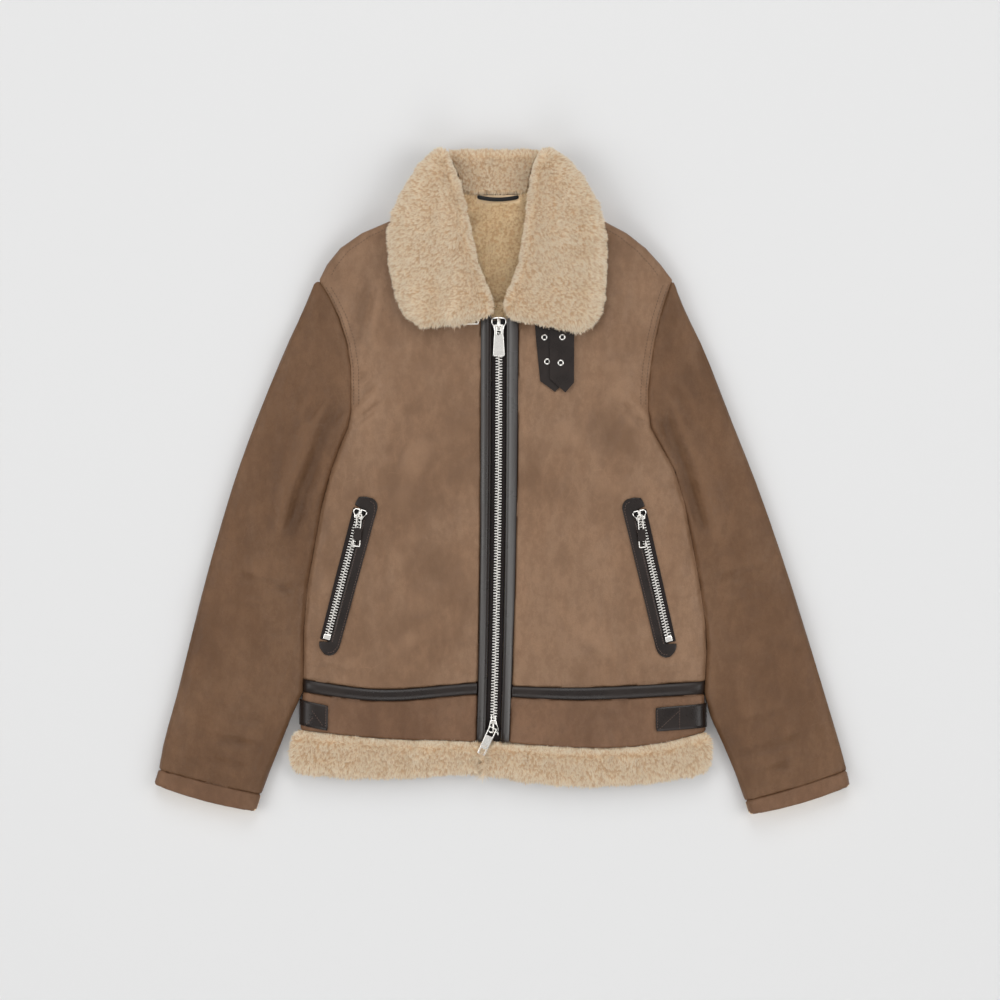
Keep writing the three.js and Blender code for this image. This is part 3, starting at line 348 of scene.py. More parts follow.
def waxed_leather(name, tone):
    """Brown waxed leather: clouded colour, rubbed paler patches, darker flecks and a fine grain, with painted
    sheen in slanted bands, painted shade in the creases' troughs and a painted highlight on their crests.
    """
    finish = Finish(name, Specular_IOR_Level=0.27, IOR=1.46)
    drawn = finish.node("ShaderNodeMapping", {}, {"Vector": finish.place(), "Scale": (1.0, 0.55, 1.0)})
    slanted = finish.node("ShaderNodeMapping", {}, {
        "Vector": finish.place(), "Rotation": (0, 0, math.radians(32)), "Scale": (1.0, 0.45, 1.0)})
    clouds = finish.ranged(finish.noise(6, 3, 0.5), 0.36, 0.66)
    patches = finish.ranged(finish.noise(34, 5, 0.66, drawn), 0.42, 0.66)
    mottle = finish.ranged(finish.noise(105, 5, 0.7, drawn), 0.38, 0.62)
    specks = finish.ranged(finish.noise(900, 2, 0.6), 0.3, 0.7)
    # painted sheen: paler slanted bands, as of light on soft diagonal folds
    sheen_bands = finish.ranged(finish.noise(13, 4, 0.6, slanted), 0.4, 0.6)
    broad = finish.mixed(clouds, shaded(tone, 0.74, 0.06), shaded(tone, 1.04, 0.02))
    sheen_banded = finish.mixed(sheen_bands * 0.62, broad, shaded(tone, 1.36, -0.04))
    rubbed = finish.mixed(patches * 0.34, sheen_banded, shaded(tone, 1.38, 0.02))
    mottled = finish.mixed(mottle * 0.36, rubbed, shaded(tone, 0.64, 0.08))
    grained = finish.mixed(specks * 0.25, mottled, shaded(tone, 0.7))
    scratches = finish.cells(55, "DISTANCE_TO_EDGE", at=drawn)
    marks = finish.ranged(scratches, 0.0, 0.02, 1.0, 0.0) * finish.ranged(finish.noise(14, 2), 0.52, 0.7)
    marked = finish.mixed(marks * 0.28, grained, shaded(tone, 1.45))
    # painted shade in the creases' troughs and a painted highlight on their crests, from the fold heights
    # that crumple marks
    painted_light = finish.attribute("painted_light")
    folded = finish.mixed(finish.ranged(painted_light * -1.0, 0.3, 1.7) * 0.42, marked, shaded(tone, 0.42, 0.1))
    ridged = finish.mixed(finish.ranged(painted_light, 0.1, 1.0) * 0.34, folded, shaded(tone, 1.5, -0.02))
    grain = finish.cells(760) * 0.6 + finish.noise(1500, 2, 0.6) * 0.5
    normal = finish.relief(finish.noise(80, 4, 0.6), 2.2 * MM, 0.8)
    normal = finish.relief(grain, 0.35 * MM, 0.55, normal)
    gloss = 0.37 + 0.14 * patches + 0.1 * specks
    return finish.set(Base_Color=ridged, Roughness=gloss, Normal=normal)


PAINTED_HIGHLIGHT_TONE = (0.17, 0.165, 0.16)  # grey of the painted highlight on dark leather


def dark_leather(name, tone, roughness=0.24):
    """Smooth dark leather of the trims, with a soft grey sheen and a grey painted highlight where its points
    are marked.
    """
    finish = Finish(name, Specular_IOR_Level=0.38, IOR=1.5)
    clouds = finish.ranged(finish.noise(26, 4, 0.6), 0.35, 0.65)
    specks = finish.ranged(finish.noise(1100, 2, 0.6), 0.3, 0.7)
    broad = finish.mixed(clouds, shaded(tone, 0.8), shaded(tone, 1.2))
    grained = finish.mixed(specks * 0.3, broad, shaded(tone, 0.55))
    # painted highlight: grey where the points are marked
    ridge_highlighted = finish.mixed(finish.attribute("painted_light") * 0.85, grained, PAINTED_HIGHLIGHT_TONE)
    grain = finish.cells(1000) * 0.7 + finish.noise(1900, 2) * 0.3
    normal = finish.relief(grain, 0.25 * MM, 0.45)
    return finish.set(Base_Color=ridge_highlighted, Roughness=roughness + 0.14 * clouds, Normal=normal)


def fleece(name, tip, root):
    """Sheared wool: darker near the skin, pale at the tips, with a slight change from lock to lock and
    painted shade in the partings between tufts.
    """
    finish = Finish(name, Roughness=0.95, Specular_IOR_Level=0.12, Sheen_Weight=0.2, Sheen_Roughness=0.6)
    up = finish.ranged(finish.attribute("pile"), 0.1, 0.95)
    lock = finish.attribute("lock")
    parting = finish.ranged(finish.attribute("parting"), 0.75, 1.25)
    clouds = finish.ranged(finish.noise(24, 4, 0.6), 0.38, 0.64)
    wool = finish.mixed(up, root, tip)
    # painted shade in the partings between tufts
    parted = finish.mixed(parting * 0.66, wool, shaded(root, 0.55, 0.3))
    tinted = finish.mixed(lock * 0.16, parted, shaded(tip, 0.84, 0.05))
    toned = finish.mixed(clouds * 0.2, tinted, shaded(tip, 0.86, 0.06))
    fibres = finish.noise(1400, 3, 0.7)
    return finish.set(Base_Color=toned, Normal=finish.relief(fibres, 0.5 * MM, 0.35))


def silver(name, tone):
    """Polished metal with faint wear."""
    finish = Finish(name, Metallic=1.0)
    wear = finish.ranged(finish.noise(240, 4, 0.6), 0.4, 0.7)
    base = finish.mixed(wear * 0.3, tone, shaded(tone, 0.8))
    normal = finish.relief(finish.noise(900, 2), 0.05 * MM, 0.3)
    return finish.set(Base_Color=base, Roughness=0.16 + 0.16 * wear, Normal=normal)


def woven_tape(name, tone):
    """Dark twill tape."""
    finish = Finish(name, Specular_IOR_Level=0.2)
    bands = {"wave_type": "BANDS", "bands_direction": "DIAGONAL"}
    inputs = {"Vector": finish.place(), "Scale": 420.0, "Distortion": 0.6}
    twill = finish.node("ShaderNodeTexWave", bands, inputs)
    base = finish.mixed(twill * 0.5, tone, shaded(tone, 2.2))
    return finish.set(Base_Color=base, Roughness=0.85, Normal=finish.relief(twill, 0.2 * MM, 0.6))


def thread(name, tone):
    """Twisted sewing thread."""
    finish = Finish(name, Roughness=0.6)
    twist = finish.noise(2400, 1)
    return finish.set(Base_Color=finish.mixed(twist, shaded(tone, 0.75), shaded(tone, 1.25)))


@functools.cache
def finishes():
    """All materials by name, made on first use."""
    scene = bpy.context.scene
    leather, wool_look, metal = scene.coat_leather, scene.coat_fleece, scene.coat_metal
    trim, root = tuple(leather.trim), tuple(wool_look.root)
    return {
        "body": waxed_leather("body_leather", tuple(leather.body)),
        "sleeve": waxed_leather("sleeve_leather", tuple(leather.sleeve)),
        "band": waxed_leather("band_leather", tuple(leather.band)),
        "trim": dark_leather("trim_leather", trim),
        "cord": dark_leather("cord_leather", shaded(trim, 0.12), 0.5),
        "fleece": fleece("collar_fleece", tuple(wool_look.tip), root),
        "lining": fleece("lining_fleece", tuple(wool_look.lining), shaded(root, 0.93)),
        "silver": silver("polished_silver", tuple(metal.silver)),
        "tape": woven_tape("zip_tape", colour(36, 31, 30)),
        "brown_thread": thread("brown_thread", shaded(tuple(leather.band), 0.45)),
        "dark_thread": thread("dark_thread", shaded(trim, 6)),
        # painted shade: near black, in the eyelets' holes and the sliders' bodies
        "painted_shade": dark_leather("painted_shade_dark", (0.006, 0.005, 0.005), 0.7),
    }


def added(name, mesh, *materials):
    """A new object of a mesh, with its materials."""
    obj = bpy.data.objects.new(name, mesh)
    bpy.context.scene.collection.objects.link(obj)
    for material in materials:
        mesh.materials.append(material)
    return obj


def from_bmesh(name, body, *materials, smooth=True):
    mesh = bpy.data.meshes.new(name)
    body.to_mesh(mesh)
    body.free()
    if smooth:
        mesh.shade_smooth()
    return added(name, mesh, *materials)


def merged(node):
    """A bmesh of a CAD node with its points merged."""
    body = bmesh.new()
    body.from_mesh(frame["nodes"][node].data, vertex_normals=False)
    for layer in list(body.loops.layers.uv):
        body.loops.layers.uv.remove(layer)
    bmesh.ops.remove_doubles(body, verts=body.verts, dist=0.01 * MM)
    return body


def bare(mesh):
    """Drops normals and materials that came with a CAD mesh."""
    if "custom_normal" in mesh.attributes:
        mesh.attributes.remove(mesh.attributes["custom_normal"])
    mesh.materials.clear()
    mesh.polygons.foreach_set("material_index", np.zeros(len(mesh.polygons), np.int32))
    return mesh


def applied(obj):
    """Turns an object's modifiers into its mesh."""
    graph = bpy.context.evaluated_depsgraph_get()
    made = bpy.data.meshes.new_from_object(obj.evaluated_get(graph))
    obj.modifiers.clear()
    old, obj.data = obj.data, made
    bpy.data.meshes.remove(old)
    return obj


def remade(name, node, voxel, rounds=2, crisp=False):
    """An even, fine mesh on a CAD node's form. A crisp one keeps to the form's edges."""
    form = merged(node)
    tree = BVHTree.FromBMesh(form)
    obj = from_bmesh(name, form, smooth=False)
    bare(obj.data)
    remesh = obj.modifiers.new("Even", "REMESH")
    remesh.mode = "VOXEL"
    remesh.voxel_size = voxel
    applied(obj)
    body = bmesh.new()
    body.from_mesh(obj.data)
    for _ in range(rounds):
        bmesh.ops.smooth_vert(
            body, verts=body.verts, factor=0.5, use_axis_x=True, use_axis_y=True, use_axis_z=True)
    if crisp:
        for vert in body.verts:
            vert.co = tree.find_nearest(vert.co)[0]
    body.to_mesh(obj.data)
    body.free()
    obj.data.shade_smooth()
    return obj


def softened(name, node, sharp=50, crease=0.75):
    """A subdivided copy of a CAD node that keeps its sharper edges."""
    body = merged(node)
    bmesh.ops.join_triangles(
        body, faces=body.faces, cmp_seam=False, cmp_sharp=False, cmp_uvs=False, cmp_vcols=False,
        cmp_materials=False, angle_face_threshold=math.radians(40), angle_shape_threshold=math.radians(60),
    )
    layer = body.edges.layers.float.new("crease_edge")
    for edge in body.edges:
        if edge.calc_face_angle(0) > math.radians(sharp):
            edge[layer] = crease
    obj = from_bmesh(name, body)
    bare(obj.data)
    surface = obj.modifiers.new("Soft", "SUBSURF")
    surface.levels = SOFT_LEVELS
    surface.render_levels = SOFT_LEVELS
    applied(obj)
    obj.data.shade_smooth()
    return obj


def round_edges(body, width):
    """Rounds a body's sharp edges."""
    sharp = [edge for edge in body.edges if edge.calc_face_angle(0) > SHARP_EDGE]
    bmesh.ops.bevel(
        body, geom=sharp, offset=width, offset_type="OFFSET", affect="EDGES", segments=2,
        profile=0.5, material=-1, clamp_overlap=True,
    )


def bevelled(name, node, width):
    """A copy of a hard CAD node with rounded edges."""
    body = merged(node)
    bmesh.ops.dissolve_limit(
        body, angle_limit=math.radians(2), use_dissolve_boundaries=False, verts=body.verts, edges=body.edges)
    round_edges(body, width)
    obj = from_bmesh(name, body, smooth=False)
    bare(obj.data)
    return obj


def paint(obj, *materials):
    obj.data.materials.clear()
    for material in materials:
        obj.data.materials.append(material)
    return obj


def finish_piece(obj, body, slot, *nodes):
    """Sets a piece on the body it rides on and hides the CAD nodes it stands for. The slot is not used."""
    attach(obj, body)
    if nodes:
        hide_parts(*nodes)
    return obj


def points_in(mesh):
    points = np.empty(len(mesh.vertices) * 3)
    mesh.vertices.foreach_get("co", points)
    return points.reshape(-1, 3)


def lay(obj):
    """Works out the length of a piece's own face and its width, no less than the narrowest cut."""
    mesh = obj.data
    flat = points_in(mesh)[:, :2]
    centred = flat - flat.mean(axis=0)
    axes = np.linalg.svd(centred, full_matrices=False)[2]
    across = centred @ axes.T
    length, width = across.max(axis=0) - across.min(axis=0)
    area = sum(face.area for face in mesh.polygons) / 2
    width = max(width, 1.01 * area / length, NARROWEST_CUT)


def points_of(obj):
    """An object's points and their normals."""
    normals = np.empty(len(obj.data.vertices) * 3)
    obj.data.vertices.foreach_get("normal", normals)
    return points_in(obj.data), normals.reshape(-1, 3)


def mark(obj, name, values):
    """Gives each point of an object a number that its material reads."""
    made = obj.data.attributes.new(name, "FLOAT", "POINT")
    made.data.foreach_set("value", values.astype(np.float32))


def move_points(obj, points):
    obj.data.vertices.foreach_set("co", points.ravel())
    obj.data.update()


WAVE_COUNT = 6  # how many plain waves make up an uneven one


def waves(x, y, length, seed):
    """Slow uneven waves of about one wavelength, from -1 to 1."""
    random = np.random.default_rng(seed)
    total = np.zeros_like(x)
    for _ in range(WAVE_COUNT):
        angle = random.uniform(0, math.pi)
        size = length * random.uniform(0.7, 1.5)
        phase = random.uniform(0, 2 * math.pi)
        total += np.sin(2 * math.pi * (x * math.cos(angle) + y * math.sin(angle)) / size + phase)
    return total / math.sqrt(WAVE_COUNT)


def crease_rise(x, y, crease):
    """Rise of one crease at points given in millimetres."""
    best = np.full_like(x, 1e9)
    along = np.zeros_like(x)
    points = np.array(crease.points, float)
    steps = np.linalg.norm(np.diff(points, axis=0), axis=1)
    total = steps.sum()
    done = 0.0
    for start, step, size in zip(points[:-1], np.diff(points, axis=0), steps):
        share = np.clip(((x - start[0]) * step[0] + (y - start[1]) * step[1]) / size**2, 0, 1)
        distance = np.hypot(x - start[0] - share * step[0], y - start[1] - share * step[1])
        nearer = distance < best
        best = np.where(nearer, distance, best)
        along = np.where(nearer, (done + share * size) / total, along)
        done += size
    uneven = 1 + 0.3 * np.sin(9 * along + points[0, 0])
    taper = np.clip(along / 0.18, 0, 1) * np.clip((1 - along) / 0.25, 0, 1)
    taper = taper * taper * (3 - 2 * taper)
    trough = np.exp(-((best / crease.half) ** 2))
    shoulder = np.exp(-(((best - 2 * crease.half) / crease.half) ** 2))
    return crease.rise * uneven * taper * (trough - 0.35 * shoulder)


WELT_WIDTH = 34  # of a pocket's welt, in millimetres
WELT_MARGIN = 14  # over how many millimetres the folds fade towards a welt
STRAP_MARGIN = 12  # and towards the straps, the buckle and the tabs
FLAT_UNDER = (
    "collar_strap_under", "collar_strap_upper", "collar_buckle", "side_tab_right", "side_tab_left",
)


def quiet_zone(x, y):
    """From 0 on the pieces that lie on the fronts to 1 away from them."""
    quiet = np.ones_like(x)
    for side in SIDES:
        low, high = (np.array(corner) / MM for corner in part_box(f"pocket_{side}_welt"))
        lean = SIGN[side] * (high[0] - low[0] - WELT_WIDTH) / (high[1] - low[1])
        middle = (low[0] + high[0]) / 2 - lean * (y - (low[1] + high[1]) / 2)
        beside = np.abs(x - middle) - WELT_WIDTH / 2
        past = np.maximum(beside, np.abs(y - (low[1] + high[1]) / 2) - (high[1] - low[1]) / 2)
        quiet *= np.clip(past / WELT_MARGIN, 0, 1)
    for node in FLAT_UNDER:
        low, high = (np.array(corner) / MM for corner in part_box(node))
        past = np.maximum(np.maximum(low[0] - x, x - high[0]), np.maximum(low[1] - y, y - high[1]))
        quiet *= np.clip(past / STRAP_MARGIN, 0, 1)
    return quiet


PAINTED_LIGHT_DEPTH = 3.0  # height of a fold, in millimetres, that gets the full painted shade in its trough or painted highlight on its crest
WAVE_LIGHT_SHARE = 0.5  # painted shade and highlight from the slow waves, as a share of that from the creases
LONG_WAVE = 85  # lengths of the leather's slow waves, in millimetres
SHORT_WAVE = 34
SUNK = 0.12  # how far the leather lies inside the solid, in millimetres
UNDER_SHARE = 0.7  # folds on the under face, as a share of those on the upper


def crumple(obj, creases, seed, seams=()):
    """Gives a leather piece its creases and slow waves, on its upper and its under face."""
    points, normals = points_of(obj)
    x, y = points[:, 0] / MM, points[:, 1] / MM
    height = bpy.context.scene.coat_leather.undulation / MM
    depth = bpy.context.scene.coat_leather.creasing
    shape = depth * sum((crease_rise(x, y, crease) for crease in creases), np.zeros_like(x))
    slow = height * (waves(x, y, LONG_WAVE, seed) + 0.5 * waves(x, y, SHORT_WAVE, seed + 1))
    # marks the fold heights, for the painted shade in the troughs and the painted highlight on the crests
    mark(obj, "painted_light", (shape + WAVE_LIGHT_SHARE * slow) / PAINTED_LIGHT_DEPTH)
    rise = (shape + slow - height) * quiet_zone(x, y) - SUNK
    rise += sum((crease_rise(x, y, seam) for seam in seams), np.zeros_like(x))
    up = np.clip(normals[:, 2] * 1.6, -1, 1)
    outside = np.where(points[:, 2] > MIDDLE, up > 0, up < 0)
    points[:, 2] += np.where(outside, up * rise * MM * np.where(up > 0, 1, UNDER_SHARE), 0)
    points[:, 2] = np.maximum(points[:, 2], 0)
    points[:, :2] += SEAM_FILL * normals[:, :2]
    move_points(obj, points)


INNER_TURN = 0.93  # how far a face must look inwards to be fleece
CUFF_TURN = 0.35  # and at a cuff, where the rims show it too
CUFF_DEPTH = 9 * MM  # half the height of a cuff's open end


def fleece_inside(obj, upper, ends):
    """Puts the second material on the faces that look inwards, and on a cuff's open end."""
    mesh = obj.data
    count = len(mesh.polygons)
    normals, centres = np.empty(count * 3), np.empty(count * 3)
    mesh.polygons.foreach_get("normal", normals)
    mesh.polygons.foreach_get("center", centres)
    normals, centres = normals.reshape(-1, 3), centres.reshape(-1, 3)
    limit = CUFF_TURN if ends else INNER_TURN
    inward = normals[:, 2] < -limit if upper else normals[:, 2] > limit
    if ends:
        inward |= (normals[:, 1] < -0.5) & (np.abs(centres[:, 2] - MIDDLE) < CUFF_DEPTH)
    mesh.polygons.foreach_set("material_index", inward.astype(np.int32))


class Leather(NamedTuple):
    """A leather piece: its node, finish, slot, layer and the node that it lies on."""

    node: str
    finish: str
    slot: str
    upper: bool
    rests_on: str = ""


PANELS = (
    Leather("back_panel", "body", "leather", False),
    Leather("front_right_panel", "body", "leather", True, "back_panel"),
    Leather("front_left_panel", "body", "leather", True, "back_panel"),
    Leather("waistband_right", "band", "band_leather", True, "waistband_back"),
    Leather("waistband_left", "band", "band_leather", True, "waistband_back"),
    Leather("waistband_back", "band", "band_leather", False),
)
SLEEVES = tuple(
    Leather(f"{part}_{side}_{half}", finish, slot, half == "upper",
            f"{part}_{side}_under" if half == "upper" else "")
    for side in SIDES
    for part, finish, slot in (("sleeve", "sleeve", "sleeve_leather"), ("cuff", "band", "band_leather"))
    for half in ("upper", "under")
)


def leather_piece(piece, creases, seams, seed):
    """One panel of waxed leather with fleece on its inner side."""
    looks = finishes()
    voxel = bpy.context.scene.coat_leather.mesh * (1 if piece.upper else UNDER_COARSER)
    obj = remade(f"{piece.node}_leather", piece.node, voxel, crisp=True)
    crumple(obj, creases, seed, seams)
    paint(obj, looks[piece.finish], looks["lining"])
    fleece_inside(obj, piece.upper, ends=piece.node.startswith("cuff"))
    finish_piece(obj, "root", piece.slot, piece.node)
    lay(obj)
    KEPT["leather"].append(obj)


class Pile(NamedTuple):
    """Wool on a fleece body: its lean in the coat's frame, its length and spacing as shares, its tufts' size
    in millimetres, and the height y under which it grows longer."""

    lean: tuple
    length: float
    spacing: float
    tuft: float
    fringe: float = -1000.0


def surface_samples(obj, spacing, seed, keep):
    """Even random points on a mesh, with their normals."""
    mesh = obj.data
    mesh.calc_loop_triangles()
    corners = np.empty(len(mesh.loop_triangles) * 3, np.int32)
    mesh.loop_triangles.foreach_get("vertices", corners)
    corners = corners.reshape(-1, 3)
    points, normals = points_of(obj)
    a, b, c = (points[corners[:, i]] for i in range(3))
    areas = np.linalg.norm(np.cross(b - a, c - a), axis=1) / 2
    random = np.random.default_rng(seed)
    count = int(3.2 * areas.sum() / spacing**2)
    chosen = random.choice(len(areas), count, p=areas / areas.sum())
    u, v = random.random(count), random.random(count)
    over = u + v > 1
    u, v = np.where(over, 1 - u, u), np.where(over, 1 - v, v)
    shares = np.stack([1 - u - v, u, v], axis=1)[:, :, None]
    place = (points[corners[chosen]] * shares).sum(axis=1)
    facing = (normals[corners[chosen]] * shares).sum(axis=1)
    facing /= np.linalg.norm(facing, axis=1)[:, None]
    kept = keep(place, facing)
    place, facing = place[kept], facing[kept]
    cells = np.floor(place / spacing).astype(np.int64)
    keys = (cells[:, 0] * 73856093) ^ (cells[:, 1] * 19349663) ^ (cells[:, 2] * 83492791)
    first = np.unique(keys, return_index=True)[1]
    return place[first], facing[first]


UNEVEN = 0.09  # how much tufts and locks differ in length, as shares
FRINGE_REACH = 14  # over how many millimetres the wool grows longer towards an edge
COMBED, SWIRLED, STRAY = 0.95, 0.14, 0.2  # how far locks lean as combed, in swirls and by chance
GATHER = 0.32  # how far a lock's tip is drawn to its tuft's middle
ROOT_DEPTH = 0.2 * MM  # how deep a lock's root sits
LIGHT_LIFT = 1.2  # how far the wool's shading leans up to the light
WOOL_FLOOR = 0.3 * MM  # lowest height of the wool


def wool(name, base, pile, seed, keep, look="fleece"):
    """Fine locks of wool that cover a fleece body: three-sided spikes that lean and gather in tufts."""
    settings = bpy.context.scene.coat_fleece
    spacing = settings.spacing * pile.spacing
    roots, normals = surface_samples(base, spacing, seed, keep)
    count = len(roots)
    random = np.random.default_rng(seed + 1)
    centres, _ = surface_samples(base, pile.tuft * MM, seed + 2, keep)
    tree = KDTree(len(centres))
    for index, centre in enumerate(centres):
        tree.insert(centre, index)
    tree.balance()
    nearest = np.array([tree.find(root)[1] for root in roots])
    gather = centres[nearest] - roots
    parting = 2 * np.linalg.norm(gather, axis=1) / (pile.tuft * MM)
    tall = random.normal(0, UNEVEN, len(centres))[nearest]
    x, y = roots[:, 0] / MM, roots[:, 1] / MM
    longer = 0.7 * np.clip((pile.fringe - y) / FRINGE_REACH, 0, 1)
    share = 1 + tall + 0.12 * waves(x, y, 16, seed) + random.normal(0, UNEVEN, count) + longer
    length = settings.length * pile.length * share
    swirl = np.stack([waves(x, y, 30, seed + 3), waves(x, y, 30, seed + 4), np.zeros(count)], axis=1)
    lean = COMBED * np.array(pile.lean) + SWIRLED * swirl + random.normal(0, STRAY, (count, 3))
    lean -= (lean * normals).sum(axis=1)[:, None] * normals
    tips = roots + (normals + lean) * length[:, None] + GATHER * gather
    tangent = np.cross(normals, random.normal(0, 1, (count, 3)))
    tangent /= np.linalg.norm(tangent, axis=1)[:, None]
    other = np.cross(normals, tangent)
    lifted = np.where(normals[:, 2:] > -0.3, [[0, 0, LIGHT_LIFT]], [[0, 0, 0]])
    points, facing = np.empty((count, 4, 3)), np.empty((count, 4, 3))
    for corner in range(3):
        angle = 2 * math.pi * corner / 3
        spoke = math.cos(angle) * tangent + math.sin(angle) * other
        points[:, corner] = roots - ROOT_DEPTH * normals + spacing * spoke
        facing[:, corner] = normals + 0.5 * spoke + lifted
    points[:, 3] = tips
    facing[:, 3] = normals + 0.35 * lean + lifted
    facing /= np.linalg.norm(facing, axis=2)[:, :, None]
    points[:, :, 2] = np.maximum(points[:, :, 2], WOOL_FLOOR)
    starts = 4 * np.arange(count)
    faces = [tuple(start + corner for corner in face) for start in starts.tolist()
             for face in ((0, 1, 3), (1, 2, 3), (2, 0, 3), (2, 1, 0))]
    mesh = bpy.data.meshes.new(name)
    mesh.from_pydata(points.reshape(-1, 3).tolist(), [], faces)
    mesh.shade_smooth()
    mesh.normals_split_custom_set_from_vertices(facing.reshape(-1, 3).tolist())
    cover = added(name, mesh, finishes()[look])
    mark(cover, "pile", np.tile([0, 0, 0, 1.0], count))
    # how far each lock is from its tuft's middle, for the painted shade in the partings
    mark(cover, "parting", np.repeat(parting, 4))
    mark(cover, "lock", np.repeat(random.random(count), 4))
    return finish_piece(cover, "root", "fur")


SUNK_SHARE = 0.62  # how far a fleece body is sunk under its wool, as a share of the wool's length


def fleece_body(name, node, voxel, depth):
    """The body under the wool: a CAD node's form, sunk in by the pile's depth."""
    obj = remade(name, node, voxel, rounds=3)
    points, normals = points_of(obj)
    points -= normals * depth
    points[:, 2] = np.maximum(points[:, 2], 0.2 * MM)
    move_points(obj, points)
    return paint(obj, finishes()["fleece"])


def fleece_piece(node, pile, seed, keep, voxel=3 * MM):
    """A padded fleece piece and its wool. Gives the body under the wool."""
    depth = SUNK_SHARE * bpy.context.scene.coat_fleece.length * pile.length
    base = fleece_body(f"{node}_skin", node, voxel, depth)
    wool(f"{node}_wool", base, pile, seed, keep)
    finish_piece(base, "root", "fur", node)
    return base


def facing_up(place, normal):
    return normal[:, 2] > -0.35


def facing_down(place, normal):
    return normal[:, 2] < 0.45


def joined_copies(name, template, places, *materials):
    """One mesh of a small shape at many places. The template is used up."""
    mesh = bpy.data.meshes.new(name)
    template.to_mesh(mesh)
    template.free()
    points = points_in(mesh)
    faces = [tuple(face.vertices) for face in mesh.polygons]
    bpy.data.meshes.remove(mesh)
    moved, all_faces = [], []
    for number, place in enumerate(places):
        turn = np.array(place.to_3x3())
        moved.append(points @ turn.T + np.array(place.translation))
        start = number * len(points)
        all_faces += [tuple(start + corner for corner in face) for face in faces]
    made = bpy.data.meshes.new(name)
    made.from_pydata(np.concatenate(moved).tolist(), [], all_faces)
    made.shade_smooth()
    return added(name, made, *materials)


def block(width, length, height, bevel, segments=2):
    """A small block with rounded edges."""
    body = bmesh.new()
    bmesh.ops.create_cube(body, size=1.0, matrix=Matrix.Diagonal((width, length, height, 1)))
    bmesh.ops.bevel(
        body, geom=body.edges[:], offset=bevel, offset_type="OFFSET", affect="EDGES", segments=segments,
        profile=0.5, material=-1,
    )
    return body


def rows_of(node):
    """For a node, its outermost points by height y: arrays of y, lowest x and highest x."""
    points = points_in(frame["nodes"][node].data)
    heights = np.round(points[:, 1], 4)
    values = np.unique(heights)
    lows = np.array([points[heights == value, 0].min() for value in values])
    highs = np.array([points[heights == value, 0].max() for value in values])
    return values, lows, highs


def panel_edge(side):
    """A front's outer edge as a function of y, in metres, from its straight rows."""
    heights, lows, highs = rows_of(f"front_{side}_panel")
    straight = heights > -60 * MM
    edge = lows if side == "right" else highs
    return lambda y: np.interp(y, heights[straight], edge[straight])


class Surface:
    """What lies uppermost, so that small pieces can be set on it."""

    def __init__(self, objects):
        points, faces, start = [], [], 0
        for obj in objects:
            points += [vertex.co.copy() for vertex in obj.data.vertices]
            faces += [tuple(start + corner for corner in face.vertices) for face in obj.data.polygons]
            start = len(points)
        self.tree = BVHTree.FromPolygons(points, faces)

    def at(self, x, y):
        hit, normal, _, _ = self.tree.ray_cast(Vector((x, y, 0.2)), Vector((0, 0, -1)))
        if hit is None:
            return Vector((x, y, TOP_FACE)), Vector((0, 0, 1))
        return hit, normal


STITCH_RISE = 0.12 * MM  # how far stitches stand out


def stitch_places(surface, line, pitch=4.2 * MM):
    """Places for stitches along a line of points in metres, on a surface."""
    points = np.array(line, float)
    steps = np.linalg.norm(np.diff(points, axis=0), axis=1)
    along = np.concatenate([[0], np.cumsum(steps)])
    places = []
    for middle in np.arange(pitch / 2, along[-1], pitch):
        ends = []
        for offset in (-0.3 * pitch, 0.3 * pitch):
            at = min(max(middle + offset, 0), along[-1])
            x, y = (np.interp(at, along, points[:, axis]) for axis in range(2))
            ends.append(surface.at(x, y))
        (start, up), (end, _) = ends
        forward = (end - start).normalized()
        side = forward.cross(up).normalized()
        normal = side.cross(forward)
        place = Matrix((side, forward, normal)).transposed().to_4x4()
        place.translation = (start + end) / 2 + normal * STITCH_RISE
        places.append(place)
    return places


# A facing's painted highlight along its ridge: its place and spread as shares of the width, and its strength.
FACING_RIDGE = {"right": (0.42, 0.2, 0.62), "left": (0.5, 0.24, 0.9)}


def paint_ridge_highlight(obj, middle, spread, highlight_strength):
    """Marks the ridge that runs along an upright strip, at a share of its width, for a painted highlight on
    its upward faces.
    """
    points, normals = points_of(obj)
    low, high = points[:, 0].min(), points[:, 0].max()
    across = ((points[:, 0] - low) / (high - low) - middle) / spread
    mark(obj, "painted_light", highlight_strength * np.exp(-(across**2)) * np.clip(normals[:, 2], 0, 1))


KEPT = {"leather": [], "dark": []}  # finished pieces that stitches are set on


class COAT_OT_panels(bpy.types.Operator):
    """Make the fronts, the back and the waistband"""

    bl_idname = "coat.panels"
    bl_label = "Panels"

    def execute(self, context):
        for seed, piece in enumerate(PANELS):
            leather_piece(piece, BODY_CREASES, (), 10 * seed + 3)
        return {"FINISHED"}


class COAT_OT_sleeves(bpy.types.Operator):
    """Make the sleeves and the cuffs"""

    bl_idname = "coat.sleeves"
    bl_label = "Sleeves"

    def execute(self, context):
        for seed, piece in enumerate(SLEEVES):
            leather_piece(piece, SLEEVE_CREASES, SLEEVE_SEAMS, 10 * seed + 105)
        return {"FINISHED"}


